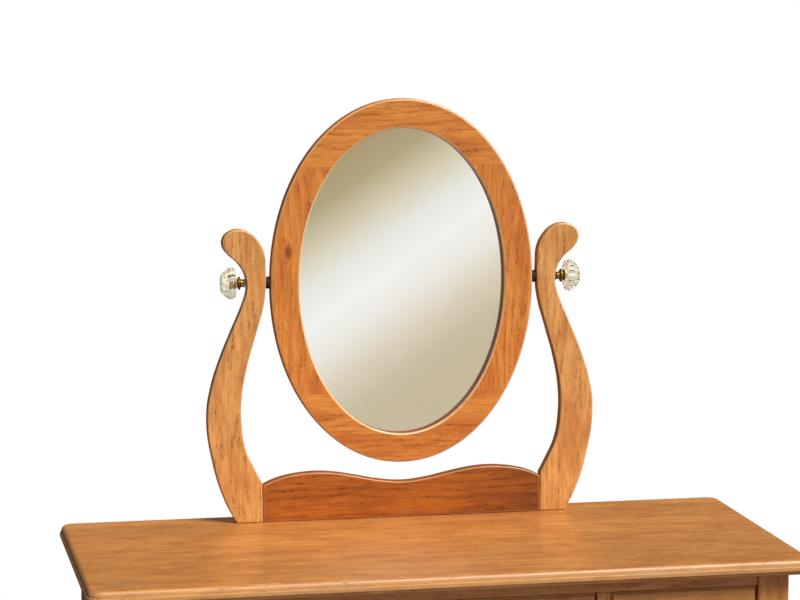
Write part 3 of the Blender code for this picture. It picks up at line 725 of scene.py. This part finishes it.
# %% Shaped aprons
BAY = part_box("front_bottom_rail")[1].x / MM
FLOOR_OF_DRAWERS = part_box("front_bottom_rail")[1].z / MM
SCALLOP = [
    (415, 580), (385, 583), (345, 595), (300, 603), (250, 600), (215, 589), (190, 584),
    (165, 588), (125, 599), (65, 606),
]
apron_line = (
    [(-BAY, FLOOR_OF_DRAWERS, "corner"), (-BAY, 584, "corner")] + [(-x, z) for x, z in SCALLOP]
    + [(0, 607)] + SCALLOP[::-1] + [(BAY, 584, "corner"), (BAY, FLOOR_OF_DRAWERS, "corner")]
)
low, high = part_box("front_bottom_rail")
sawn_board(
    "scalloped_front_rail", sawn_line(apron_line), low.y, high.y, "Y", 2 * MM, "front_bottom_rail",
    oak("golden_oak_front_rail", ALONG_X_FACING_Y, next_seed(), heart=(560.0, -250.0), **TABLE_TONE),
)
for side_name in SIDES:
    node = f"side_apron_{side_name}"
    low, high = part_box(node)
    middle, half, crown = (low.y + high.y) / 2 / MM, (high.y - low.y) / 2 / MM, high.z / MM
    arch = [
        (-1, 606, "corner"), (-0.86, 604), (-0.62, 616), (-0.3, 630), (0, 634), (0.3, 630), (0.62, 616),
        (0.86, 604), (1, 606, "corner"),
    ]
    side_line = (
        [(middle - half, crown, "corner")] + [(middle + a * half, *rest) for a, *rest in arch]
        + [(middle + half, crown, "corner")]
    )
    sawn_board(
        f"arched_side_apron_{side_name}", sawn_line(side_line), low.x, high.x, "X", 2 * MM, node,
        oak(
            f"golden_oak_side_{side_name}", ALONG_Y_FACING_X, next_seed(),
            heart=(600.0, 1.12 * low.x / MM), **TABLE_TONE,
        ),
    )
print("posts, rail and aprons are sawn")

# %% [markdown]
# ## The oval frame
#
# The frame is glued up from four segments: two with the grain upright and two with it level, so that no part
# of the oval has short grain across it. The joints are level and show as thin lines where the grain turns.
# One cross-section is swept round the oval and cut at the joints. Its front edge is rounded over, and a lip
# at the inside holds the glass.

# %% The oval and its cross-section
FRAME_WIDE = 43.2
LIP = (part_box("mirror_glass")[0].y - POST_FRONT) / MM - 0.3
REBATE_FROM = 36.5
FRAME_THICK = (POST_BACK - POST_FRONT) / MM
FULLNESS = 2.04
JOINT_Z = {
    1: (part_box("frame_left")[1].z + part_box("frame_top")[0].z) / 2,
    -1: (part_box("frame_left")[0].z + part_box("frame_bottom")[1].z) / 2,
}


def fuller(value, power):
    """A sine or cosine for a rounder or squarer ring: 2 makes a circle, and more comes near a square."""
    return math.copysign(abs(value) ** (2 / power), value)


def oval(aside, steps=192):
    """(x, z) points of the oval, which is slightly fuller than an ellipse, moved in by some mm."""
    turns = [2 * math.pi * i / steps for i in range(steps)]
    return [
        (
            (OVAL[0] - aside * MM) * fuller(math.cos(turn), FULLNESS),
            OVAL_Z + (OVAL[1] - aside * MM) * fuller(math.sin(turn), FULLNESS),
        )
        for turn in turns
    ]


def arc(centre_aside, centre_depth, radius, start, end, steps=5):
    """Points of a quarter round of the cross-section, as (aside, depth)."""
    turns = [math.radians(start + (end - start) * i / steps) for i in range(steps + 1)]
    return [(centre_aside + radius * math.cos(t), centre_depth - radius * math.sin(t)) for t in turns]


cross_section = (
    arc(3.2, 3.2, 3.2, 180, 90) + arc(FRAME_WIDE - 2.8, 2.8, 2.8, 90, 0)
    + [(FRAME_WIDE, LIP - 0.5), (FRAME_WIDE - 0.5, LIP), (REBATE_FROM, LIP)]
    + [(REBATE_FROM, FRAME_THICK - 0.6), (REBATE_FROM - 0.6, FRAME_THICK)]
    + arc(1.6, FRAME_THICK - 1.6, 1.6, 270, 180, 3)
)
# Rows of the cross-section that get pale wear with painted highlight, or painted shade, and how much.
ROWS_OF_WEAR_AND_PAINTED_LIGHT = (
    ("edge", range(2, 5), 1.0),
    ("edge", range(7, 11), 1.9),
    ("recess", range(11, 15), 0.75),
)
SEAM = 0.03 * MM  # half the line that a glued joint shows


# %% [markdown]
# Each segment is the whole ring cut at the joints, so the profiles of two neighbours meet exactly. A hair's
# breadth is left free at each joint, and that is the fine dark line of a glued joint.

# %% Frame segments
def frame_segment(node, keep_side, material):
    """Cuts one segment out of the whole ring. keep_side is (x sign, z sign), with 0 where no cut is made."""
    shape = new_shape()
    rings = [
        [(x, POST_FRONT + depth * MM, z) for x, z in oval(aside)] for aside, depth in cross_section
    ]
    rows = loft(shape, rings, "joined")
    for layer_name, rows_marked, amount in ROWS_OF_WEAR_AND_PAINTED_LIGHT:
        mark(shape, layer_name, [vertex for i in rows_marked for vertex in rows[i]], amount)
    side, end = keep_side
    if end:
        cuts = [((0, 0, JOINT_Z[end] + end * SEAM), (0, 0, -end))]
    else:
        cuts = [
            ((0, 0, JOINT_Z[1] - SEAM), (0, 0, 1)),
            ((0, 0, JOINT_Z[-1] + SEAM), (0, 0, -1)),
            ((0, 0, 0), (-side, 0, 0)),
        ]
    for place, away in cuts:
        cut = bmesh.ops.bisect_plane(
            shape, geom=shape.verts[:] + shape.edges[:] + shape.faces[:], plane_co=place, plane_no=away,
            clear_outer=True,
        )
        rim = [item for item in cut["geom_cut"] if isinstance(item, bmesh.types.BMEdge)]
        if rim and away[2]:
            bmesh.ops.edgeloop_fill(shape, edges=rim)
    return piece(node + "_segment", mesh_of(shape, node + "_segment"), material, [node])


SEGMENTS = (
    ("frame_left", (-1, 0), ALONG_Z_FACING_Y, dict(heart=(-128.0, 92.0), knot=(-171.0, 1164.0))),
    ("frame_right", (1, 0), ALONG_Z_FACING_Y, dict(heart=(216.0, 96.0))),
    ("frame_top", (0, 1), ALONG_X_FACING_Y, dict(heart=(1290.0, 88.0))),
    ("frame_bottom", (0, -1), ALONG_X_FACING_Y, dict(
        heart=(935.0, 96.0), deepen=("Z", OVAL_Z - 0.15, OVAL_Z - 0.24, 0.13),
    )),
)
for node, keep_side, order, growth in SEGMENTS:
    wood = oak(f"golden_oak_{node}", order, next_seed(), **growth, **FRAME_TONE)
    frame_segment(node, keep_side, wood)
print("the oval frame has", len(SEGMENTS), "segments")

# %% [markdown]
# ### Glass, backing and clips
#
# The glass lies in the rebate, its edge ground. A hardboard oval behind it keeps it clean, and four zinc
# plated clips, each held by one pan head screw, swing aside to let both out.

# %% Mirror glass and backing board
GLASS_FROM_EDGE = REBATE_FROM + 0.5
BACKING_FROM_EDGE = REBATE_FROM + 1.0
for node, aside, ease, material in (
    ("mirror_glass", GLASS_FROM_EDGE, 0.6 * MM, MIRROR),
    ("backing_board", BACKING_FROM_EDGE, 0.8 * MM, HARDBOARD),
):
    low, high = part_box(node)
    shape = new_shape()
    slab(shape, oval(aside), low.y, eased_profile(high.y - low.y, ease, 3), FACING["Y"])
    piece(f"{node}_oval", mesh_of(shape, node), material, [node])


# %% [markdown]
# ### Turned shapes and screw heads
#
# Washers, brass seats and knobs are round about an axis, so one function carries a profile round it. A
# screw head is made of two half domes beside a slot, on a thin floor.

# %% Turned shapes
def turned(shape, profile, centre, axis, steps=48, ends="capped", lobes=None):
    """Lofts a turned shape along the axis. profile holds (radius, distance) in mm, and lobes(turn, radius)
    may scale the radius."""
    axis = Vector(axis).normalized()
    up = Vector((0, 0, 1)) if abs(axis.z) < 0.5 else Vector((0, 1, 0))
    aside = axis.cross(up)
    rings = []
    for radius, along in profile:
        ring = []
        for i in range(steps):
            turn = 2 * math.pi * i / steps
            reach = radius * MM * (lobes(turn, radius) if lobes else 1)
            outwards = up * math.cos(turn) + aside * math.sin(turn)
            ring.append(Vector(centre) + axis * along * MM + outwards * reach)
        rings.append(ring)
    return loft(shape, rings, ends)


def screw_head(shape, centre, axis, radius, height, slot_along):
    """A pan head with a sawn slot, as two half domes beside it and a floor under it."""
    axis, slot_along = Vector(axis).normalized(), Vector(slot_along).normalized()
    aside = axis.cross(slot_along)
    slot_half = 0.14 * radius
    for side in (-1, 1):
        rings = []
        for share, rise in ((1.0, 0.0), (1.0, 0.45), (0.93, 0.72), (0.78, 0.9), (0.52, 1.0)):
            reach = radius * share
            start = math.acos(min(1.0, slot_half / reach))
            turns = [start * (1 - i / 8) for i in range(17)]
            rings.append([
                Vector(centre) + axis * rise * height
                + (aside * side * math.cos(turn) + slot_along * math.sin(turn)) * reach
                for turn in turns
            ])
        loft(shape, rings)
    turned(shape, [(radius * 0.97 / MM, 0), (radius * 0.97 / MM, 0.3 * height / MM)], centre, axis, 24)


# %% [markdown]
# A turn clip is a stamped strip with round ends. It points outwards from the middle of the oval, and its
# screw is nearer to its outer end.

# %% Turn clips
CLIP_HALF, CLIP_END = 18.0, 7.0  # half its length and half its width, in mm
for name in ("upper_left", "upper_right", "lower_left", "lower_right"):
    node = f"backing_clip_{name}"
    low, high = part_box(node)
    centre = (low + high) / 2
    outward = Vector((centre.x, 0, centre.z - OVAL_Z)).normalized()
    beside = Vector((-outward.z, 0, outward.x))
    ends = []
    for end in (1, -1):
        for i in range(13):
            turn = math.radians(-90 + 15 * i)
            first = CLIP_HALF - CLIP_END + CLIP_END * math.cos(turn)
            ends.append((end * first * MM, end * CLIP_END * math.sin(turn) * MM))
    shape = new_shape()
    slab(
        shape, ends, low.y, eased_profile(high.y - low.y, 0.4 * MM, 2),
        lambda first, up, depth: Vector((centre.x, depth, centre.z)) + outward * first + beside * up,
    )
    screw = Vector((centre.x, high.y - 0.1 * MM, centre.z)) + outward * 6 * MM
    screw_head(shape, screw, (0, 1, 0), 4 * MM, 2.2 * MM, beside)
    piece(f"turn_clip_{name}", mesh_of(shape, node), STEEL, [node])

# %% [markdown]
# ## Pivots
#
# On each side a bolt runs from a threaded brass insert in the frame, through a dark washer and the post, into
# the knob. Turning the knob squeezes post, washer and frame together, and the friction holds the mirror at
# its angle. The bolt, the insert and the bolts up into the posts are nearly hidden, so they keep the plain
# shape of the model and only get their metal.

# %% Washers, brass seats and hidden hardware
for side_name, side in SIDES.items():
    hub, axis = Vector((0, PIVOT.y, PIVOT.z)), (side, 0, 0)
    start, end = sorted(abs(corner.x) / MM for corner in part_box(f"pivot_spacer_{side_name}"))
    shape = new_shape()
    turned(shape, [
        (3.1, start), (8.2, start), (8.8, start + 0.25), (9.0, start + 0.9),
        (9.0, end - 0.9), (8.8, end - 0.25), (8.2, end), (3.1, end),
    ], hub, axis, ends="joined")
    piece(f"friction_washer_{side_name}", mesh_of(shape, "washer"), WASHER, [f"pivot_spacer_{side_name}"])

    shape = new_shape()
    turned(shape, [
        (3.3, 234.9), (6.4, 234.9), (6.6, 235.2), (5.8, 236.4), (5.5, 238.8), (6.2, 240.9), (8.9, 241.8),
        (9.7, 242.5), (9.8, 243.3), (9.5, 244.0), (8.4, 244.5), (6.4, 245.0), (6.0, 245.8), (7.2, 247.1),
        (8.4, 247.9), (8.5, 248.5), (6.6, 248.7), (6.4, 253.7), (3.3, 253.9),
    ], hub, axis, 64, "joined")
    piece(f"clamp_knob_brass_{side_name}", mesh_of(shape, "seat"), BRASS, [f"clamp_knob_seat_{side_name}"])

hidden = {
    "frame_insert": BRASS, "pivot_bolt": STEEL, "post_bolt": STEEL,
    "rail_dowel": poplar("birch_dowel", ALONG_X_FACING_Y, next_seed()),
}
for name, material in hidden.items():
    for side_name in SIDES:
        slots = frame["nodes"][f"{name}_{side_name}"].data.materials
        slots.clear()
        slots.append(material)

# %% [markdown]
# ## Pressed glass knobs
#
# The knobs are pressed in a mould with twelve petals round a small flat table, the pattern of old glass
# furniture knobs. The petals are half round and meet in sharp valleys, which is what makes the rim sparkle.
# The same shape at two thirds of the size pulls the drawers.

# %% Petalled knobs
PETALS = 12
KNOB_PROFILE = [  # radius, distance from the back of the glass, in mm
    (3.0, 21.0), (10.8, 21.0), (11.8, 20.85), (13.0, 20.3), (15.4, 18.6), (18.2, 16.0), (20.8, 13.0),
    (22.6, 10.4), (23.35, 8.4), (23.5, 6.4), (23.3, 4.4), (22.8, 2.6), (21.9, 1.2), (20.7, 0.4), (19.0, 0.3),
    (16.8, 1.2), (14.4, 2.2), (12.2, 2.4), (10.4, 1.5), (9.3, 0.4), (8.4, 0.1), (7.0, 0.1), (6.8, 7.1),
    (3.0, 7.3),
]
KNOB_RADIUS = 23.5


def petal(turn, radius):
    """How far the petals let the surface out: nothing on the table, most at the rim."""
    rounded = abs(math.cos(PETALS / 2 * turn)) ** 0.8
    share = max(0.0, min(1.0, (radius - 11.0) / 9.0))
    return 1 - 0.10 * share * (1 - rounded)


def glass_knob(name, node, centre, axis, radius):
    """A knob of that radius whose front table is at the outer end of the node."""
    scale = radius / KNOB_RADIUS
    profile = [(r * scale, along * scale) for r, along in KNOB_PROFILE]
    shape = new_shape()
    turned(shape, profile, centre, axis, 120, lobes=lambda turn, r: petal(turn, r / scale))
    return piece(name, mesh_of(shape, name), GLASS, [node])


CLAMP_GLASS_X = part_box("clamp_knob_glass_right")[0].x
for side_name, side in SIDES.items():
    glass_knob(
        f"clamp_knob_petals_{side_name}", f"clamp_knob_glass_{side_name}",
        (side * CLAMP_GLASS_X, PIVOT.y, PIVOT.z), (side, 0, 0), KNOB_RADIUS,
    )

# %% [markdown]
# ## Legs
#
# The legs are cabriole: square where the aprons join, swelling at the knee, drawing in to a slim ankle, and
# ending in a round pad. Each is sawn from a square and shaved round by hand. Here a few cross-sections are
# given, and smooth curves through them make the rest. The section changes from a square with eased corners
# to a circle on the way down.

# %% Cabriole legs
LEG_STATIONS = [  # height, inner side, outer side, roundness, in mm from the inner corner of the block
    (0, 14, 52, 1), (2, 11, 55, 1), (7, 8, 58, 1), (16, 6, 60, 1), (28, 7, 58, 1), (42, 11, 51, 1),
    (60, 13, 44, 1), (85, 14, 40, 1), (120, 14, 38.5, 1), (180, 14, 39.5, 1), (260, 14, 42, 0.9),
    (340, 13, 45, 0.8), (410, 11, 49, 0.7), (470, 8, 53, 0.6), (512, 4, 57, 0.45), (538, 1, 58, 0.35),
    (554, 0, 56, 0.25), (567, 0, 50, 0.1), (574, 0, 45, 0), (739.7, 0, 45, 0),
]
LEG_SIDES = 64
BLOCK_EASE = 0.6  # mm taken off round the top of the block


def smooth_between(stations, height):
    """The stations' values at that height, on curves that never swing past a station."""
    heights = [station[0] for station in stations]
    i = max(0, min(len(stations) - 2, sum(h <= height for h in heights) - 1))
    span = heights[i + 1] - heights[i]
    t = (height - heights[i]) / span
    values = []
    for column in range(1, len(stations[0])):
        steps = [
            (stations[k + 1][column] - stations[k][column]) / (heights[k + 1] - heights[k])
            for k in range(len(stations) - 1)
        ]
        slopes = []
        for k in (i, i + 1):
            one, two = steps[max(k - 1, 0)], steps[min(k, len(steps) - 1)]
            slopes.append(2 * one * two / (one + two) if one * two > 0 else 0.0)
        start, end = stations[i][column], stations[i + 1][column]
        values.append(
            (2 * t ** 3 - 3 * t ** 2 + 1) * start + (t ** 3 - 2 * t ** 2 + t) * span * slopes[0]
            + (3 * t ** 2 - 2 * t ** 3) * end + (t ** 3 - t ** 2) * span * slopes[1]
        )
    return values


def squircle(half, roundness, sides):
    """A ring between a square with eased corners and a circle, its points gathered at the corners."""
    power = 2 + 16 * (1 - roundness) ** 1.6
    turns = [2 * math.pi * i / sides for i in range(sides)]
    return [(half * fuller(math.cos(turn), power), half * fuller(math.sin(turn), power)) for turn in turns]


# %% [markdown]
# The cross-sections lie close together where the leg turns quickly, at the foot and at the knee. Each leg is
# laid out from the inner corner of its block, so all four knees point outwards.

# %% Four legs
def leg_heights():
    """Heights in mm, close together at the foot and the knee."""
    low, high = LEG_STATIONS[0][0], LEG_STATIONS[-1][0]
    foot = [2.5 * i for i in range(29)]
    shank = [80 + 12 * i for i in range(33)]
    knee = [472 + 4 * i for i in range(27)]
    return [height for height in foot + shank + knee if low <= height < high] + [656, 738.9, high]


CORNERS = {
    "leg_front_left": (-1, -1), "leg_front_right": (1, -1),
    "leg_back_left": (-1, 1), "leg_back_right": (1, 1),
}
for node, (side, face) in CORNERS.items():
    low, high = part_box(node)
    corner_x = high.x if side < 0 else low.x
    corner_y = high.y if face < 0 else low.y
    rings = []
    for height in leg_heights():
        inner, outer, roundness = smooth_between(LEG_STATIONS, height)
        half, middle = (outer - inner) / 2, (outer + inner) / 2
        if height == LEG_STATIONS[-1][0]:
            half -= BLOCK_EASE
        rings.append([
            (corner_x + side * (middle + x) * MM, corner_y + face * (middle + y) * MM, height * MM)
            for x, y in squircle(half, max(0.0, min(1.0, roundness)), LEG_SIDES)
        ])
    shape = new_shape()
    loft(shape, rings)
    wood = oak(
        f"golden_oak_{node}", ALONG_Z_FACING_Y, next_seed(),
        heart=(corner_x / MM - side * 30, corner_y / MM - face * 62), **TABLE_TONE,
    )
    piece(f"cabriole_{node}", mesh_of(shape, node), wood, [node])
print("four cabriole legs are shaped")

# %% [markdown]
# ## Table top
#
# The top is a slab of boards glued edge to edge, with rounded corners. A moulding cutter has run round it: a
# small step, then a quarter round up to the top face, and a soft curve underneath.

# %% Moulded table top
low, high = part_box("table_top")
CORNER = 22 * MM
rounded = []
for x, y, start in (
    (high.x - CORNER, high.y - CORNER, 0), (low.x + CORNER, high.y - CORNER, 90),
    (low.x + CORNER, low.y + CORNER, 180), (high.x - CORNER, low.y + CORNER, 270),
):
    for i in range(13):
        turn = math.radians(start + 7.5 * i)
        rounded.append((x + CORNER * math.cos(turn), y + CORNER * math.sin(turn)))
moulding = (
    [(8 - 6 * math.sin(a), 6 - 6 * math.cos(a)) for a in map(math.radians, range(0, 91, 15))]
    + [(0.4, 6.4), (0, 7.0), (0, 11.6), (0.4, 12.2), (1.8, 12.4), (2.0, 13.0)]
    + [(9 - 7 * math.cos(a), 13.6 + 8.4 * math.sin(a)) for a in map(math.radians, range(10, 91, 10))]
)
shape = new_shape()
rows = slab(shape, rounded, low.z, [(aside * MM, up * MM) for aside, up in moulding], FACING["Z"])
mark(shape, "edge", [vertex for row in rows[8:18] for vertex in row])
piece("moulded_table_top", mesh_of(shape, "table_top"), oak(
    "golden_oak_table_top", ALONG_X_FACING_Z, next_seed(), heart=(20.0, 700.0), stave=92.0, **TABLE_TONE,
), ["table_top"])

# %% [markdown]
# ## Drawers
#
# A drawer has an oak front whose edge carries a thumbnail moulding: a small step, then a round up to the
# face. The front is drawn through that profile, as the table top is.

# %% Drawer fronts
THUMBNAIL = (
    [(0.6, 0.0), (0.0, 0.6), (0.0, 14.0), (0.5, 14.6), (1.9, 14.7), (2.1, 15.2)]
    + [(6.1 - 4 * math.cos(a), 15.4 + 3.6 * math.sin(a)) for a in map(math.radians, range(12, 91, 13))]
)


def drawer_front(name, place):
    """The front of the drawer. Each of the three is cut a little further out in its tree."""
    low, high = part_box(f"{name}_front")
    corners = [(low.x, low.z), (high.x, low.z), (high.x, high.z), (low.x, high.z)]
    shape = new_shape()
    rows = slab(
        shape, corners, 0, [(aside * MM, depth * MM) for aside, depth in THUMBNAIL],
        lambda first, up, depth: (first, high.y - depth, up),
    )
    mark(shape, "edge", [vertex for row in rows[4:11] for vertex in row])
    wood = oak(
        f"golden_oak_{name}", ALONG_X_FACING_Y, next_seed(),
        heart=(620.0 + 45 * place, -95.0), **TABLE_TONE,
    )
    piece(f"{name}_moulded_front", mesh_of(shape, name), wood, [f"{name}_front"])


# %% [markdown]
# Behind the front is a box of four sanded boards with a hardboard bottom in a groove. The sides run past the
# ends, as they do when the corners are cut to lock.

# %% Drawer boxes
BOX_WALL = 12 * MM


def drawer_box(name):
    low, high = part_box(f"{name}_box")
    walls = {
        "left_side": ((low.x, low.y, low.z), (low.x + BOX_WALL, high.y, high.z)),
        "right_side": ((high.x - BOX_WALL, low.y, low.z), (high.x, high.y, high.z)),
        "inner_front": ((low.x + BOX_WALL, low.y, low.z), (high.x - BOX_WALL, low.y + BOX_WALL, high.z)),
        "back": ((low.x + BOX_WALL, high.y - BOX_WALL, low.z), (high.x - BOX_WALL, high.y, high.z)),
    }
    for wall_name, (wall_low, wall_high) in walls.items():
        shape = new_shape()
        eased_box(shape, wall_low, wall_high, 0.8 * MM)
        order = ALONG_Y_FACING_X if "side" in wall_name else ALONG_X_FACING_Y
        wood = poplar(f"sanded_poplar_{name}_{wall_name}", order, next_seed())
        piece(f"{name}_{wall_name}", mesh_of(shape, wall_name), wood, [f"{name}_box"])
    planed_board(f"{name}_bottom", HARDBOARD, 0.4 * MM)


# %% [markdown]
# Each drawer is pulled by a glass knob on a turned brass seat. The seat's shank goes through the front and
# ends in a nut inside the drawer, so seat, shank and nut are one profile.

# %% Drawer knobs
DRAWER_SEAT = [  # radius, distance out from the front, in mm
    (2.0, -22.4), (3.2, -22.2), (3.9, -21.4), (3.9, -19.3), (2.0, -19.3), (2.0, 0.3), (9.3, 0.3), (9.9, 0.7),
    (9.8, 1.5), (9.0, 2.2), (7.2, 3.2), (5.8, 4.6), (5.3, 6.4), (5.4, 8.4), (6.4, 9.8), (7.3, 10.6),
    (7.4, 11.4), (6.6, 11.9), (4.1, 12.0), (4.1, 16.4), (3.6, 16.8),
]
OUTWARDS = (0, -1, 0)


def drawer_knob(name):
    low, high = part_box(f"{name}_knob_glass")
    middle_x, middle_z = (low.x + high.x) / 2, (low.z + high.z) / 2
    seat = Vector((middle_x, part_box(f"{name}_front")[0].y, middle_z))
    shape = new_shape()
    turned(shape, DRAWER_SEAT, seat, OUTWARDS, 64)
    piece(f"{name}_knob_brass", mesh_of(shape, "brass"), BRASS, [f"{name}_knob_seat"])
    glass_knob(
        f"{name}_knob_petals", f"{name}_knob_glass",
        (middle_x, high.y, middle_z), OUTWARDS, (high.x - low.x) / 2 / MM,
    )


for place, name in enumerate(("drawer_left", "drawer_centre", "drawer_right")):
    drawer_front(name, place)
    drawer_box(name)
    drawer_knob(name)
print("three drawers are built")

# %% [markdown]
# ## The light in the room
#
# The setting is a white studio, with white all round for the camera. What the table itself sees of the
# room is worked out from the direction. Dull surfaces see a room that is brighter to the right. Shiny ones
# see it brighter in front, with a tall soft box on either side, a pale floor below, and soft slanting bands
# that give brass and lacquer their sheen. Pressed glass gathers light from all sides, so the room is brighter
# through it.

# %% Room light
bpy.context.scene.view_settings.view_transform = "Standard"
SOFT = dict(interpolation_type="SMOOTHSTEP")
BAND_SLOPE = (0.55, 0.0, -0.835)

world = bpy.data.worlds.new("studio")
world.use_nodes = True
world.node_tree.nodes.clear()
bpy.context.scene.world = world
make = partial(add, world.node_tree)

direction = make("TexCoord", out=0)
towards = make("SeparateXYZ", [direction]).node.outputs
height = make("MapRange", (towards["Z"], -1.0, 1.0, 0.0, 1.0))
tone = make("ValToRGB", [height], stops=[
    (0.0, "#a5a09a"), (0.47, "#98948d"), (0.53, "#b9b8b5"), (0.75, "#c3c4c6"), (1.0, "#bcc0c6"),
])
from_side = make("MapRange", (towards["X"], -0.85, 0.5, 0.12, 1.0), **SOFT)

front = make("VectorMath", (direction, (0.5, -0.86, 0.0)), out=1, operation="DOT_PRODUCT")
from_front = make("MapRange", (front, -0.75, 0.5, 0.12, 1.15), **SOFT)
left_box = make("MapRange", (towards["X"], -0.7, -1.0, 0.0, 2.2), **SOFT)
right_box = make("MapRange", (towards["X"], 0.75, 1.0, 0.0, 0.9), **SOFT)
for box in (left_box, right_box):
    from_front = make("Math", (from_front, box), operation="ADD")
slope = make("VectorMath", (direction, BAND_SLOPE), out=1, operation="DOT_PRODUCT")
wave = make("Math", [make("Math", (slope, 26.0), operation="MULTIPLY")], operation="SINE")
slanting_bands = make("MapRange", (wave, -1.0, 1.0, 0.82, 1.22))
pale_floor = make("MapRange", (towards["Z"], -0.12, -0.6, 1.0, 1.75), **SOFT)
for factor in (pale_floor, slanting_bands):
    from_front = make("Math", (from_front, factor), operation="MULTIPLY")

share = make("Mix", {0: make("LightPath", out="Is Glossy Ray"), 2: from_side, 3: from_front})
gathered = make("MapRange", (share, 0.1, 1.0, 1.45, 2.3))
share = make("Mix", {0: make("LightPath", out="Is Transmission Ray"), 2: share, 3: gathered})
tone = make("VectorMath", {0: tone, "Scale": share}, operation="SCALE")
to_camera = make("LightPath", out="Is Camera Ray")
tone = make("Mix", {0: to_camera, 6: tone, 7: (1.0, 1.0, 1.0, 1.0)}, out=2, data_type="RGBA")
make("OutputWorld", [make("Background", (tone, 1.0))])

sun = bpy.data.objects.new("key_light", bpy.data.lights.new("key_light", "SUN"))
sun.data.energy = 3.3
sun.data.angle = math.radians(28)
sun.data.color = (1.0, 0.97, 0.93)
SUN_FROM = Vector((0.62, -0.78, 1.15))
sun.rotation_mode = "QUATERNION"
sun.rotation_quaternion = (-SUN_FROM).to_track_quat("-Z", "Y")
bpy.context.scene.collection.objects.link(sun)
sun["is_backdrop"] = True

# %% [markdown]
# ## The floor and what the mirror sees
#
# The floor is a pale sweep of paper, lit fully white a few steps behind the table. Over the glass's view
# stands a tilted band of light, because a mirror in a bare white room would look like a sheet of paper: a
# pale band between two warmer ones gives it depth. Only the mirror and shiny things see that card.

# %% Paper and card
def flat_sheet(name, corners, material, place):
    """A sheet of the studio, which isn't a piece of the table."""
    mesh = bpy.data.meshes.new(name)
    mesh.from_pydata(corners, [], [(0, 1, 2, 3)])
    mesh.materials.append(material)
    sheet = bpy.data.objects.new(name, mesh)
    sheet.location = place
    bpy.context.scene.collection.objects.link(sheet)
    return sheet


def paper():
    finish, make, shader = new_finish("white_paper_sweep", Roughness=0.9)
    place = make("TexCoord", out=3)
    fibres = make("TexNoise", {"Vector": place, "Scale": 220.0, "Detail": 3.0})
    fill(shader, {
        "Base Color": make("ValToRGB", [fibres], stops=[(0.3, "#e9e9e7"), (0.7, "#f3f3f1")]),
        "Normal": make("Bump", {"Strength": 0.08, "Distance": 0.2 * MM, "Height": fibres}),
    })
    away = make("VectorMath", [place], out=1, operation="LENGTH")
    lit = make("MapRange", (away, 1.1, 2.3, 0.0, 1.0), **SOFT)
    white = make("Emission", ((1, 1, 1, 1), 1.0))
    both = make("MixShader", (lit, shader.outputs[0], white))
    fill(finish.node_tree.nodes["Material Output"], [both])
    return finish


def light_bands():
    """Three bands of light that run down to the left: warm, near white, warm."""
    finish = bpy.data.materials.new("tilted_light_bands")
    finish.use_nodes = True
    finish.node_tree.nodes.clear()
    make = partial(add, finish.node_tree)
    across = make("VectorMath", (make("TexCoord", out=3), BAND_SLOPE), out=1, operation="DOT_PRODUCT")
    share = make("MapRange", (across, -0.33, 0.33, 0.0, 1.0))
    bands = make("ValToRGB", [share], stops=[
        (0.0, "#ad9b76"), (0.125, "#b5a785"), (0.25, "#d7ceb3"), (0.375, "#ebeae4"), (0.5, "#f5f5f3"),
        (0.625, "#eeeae2"), (0.75, "#ded3be"), (0.875, "#cbc0a4"), (1.0, "#cabca0"),
    ])
    make("OutputMaterial", [make("Emission", (bands, 1.0))])
    return finish


FLOOR_HALF = 60.0
CARD_HALF = (0.75, 0.95)
SQUARE = ((-1, -1), (1, -1), (1, 1), (-1, 1))

floor_corners = [(x * FLOOR_HALF, y * FLOOR_HALF, 0) for x, y in SQUARE]
floor = flat_sheet("paper_floor", floor_corners, paper(), (0, 0, -0.5 * MM))
floor.visible_diffuse = False
floor.visible_glossy = False
floor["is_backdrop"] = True

card_corners = [(x * CARD_HALF[0], 0, z * CARD_HALF[1]) for x, z in SQUARE]
card = flat_sheet("light_bands", card_corners, light_bands(), (0.668, -3.0, 0.768))
for ray in ("camera", "diffuse", "shadow", "transmission"):
    setattr(card, f"visible_{ray}", False)
card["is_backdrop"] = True

# %% [markdown]
# ## Measure
#
# The sizes of the model's box and of the visual's box are printed together. The visual has to
# stay inside the box of the model.

# %% Sizes
visual_box = [list(corner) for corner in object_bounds()]
for name, (low, high) in {"model": cad_box, "visual": visual_box}.items():
    print(name, [round(end - start, 4) for start, end in zip(low, high)])
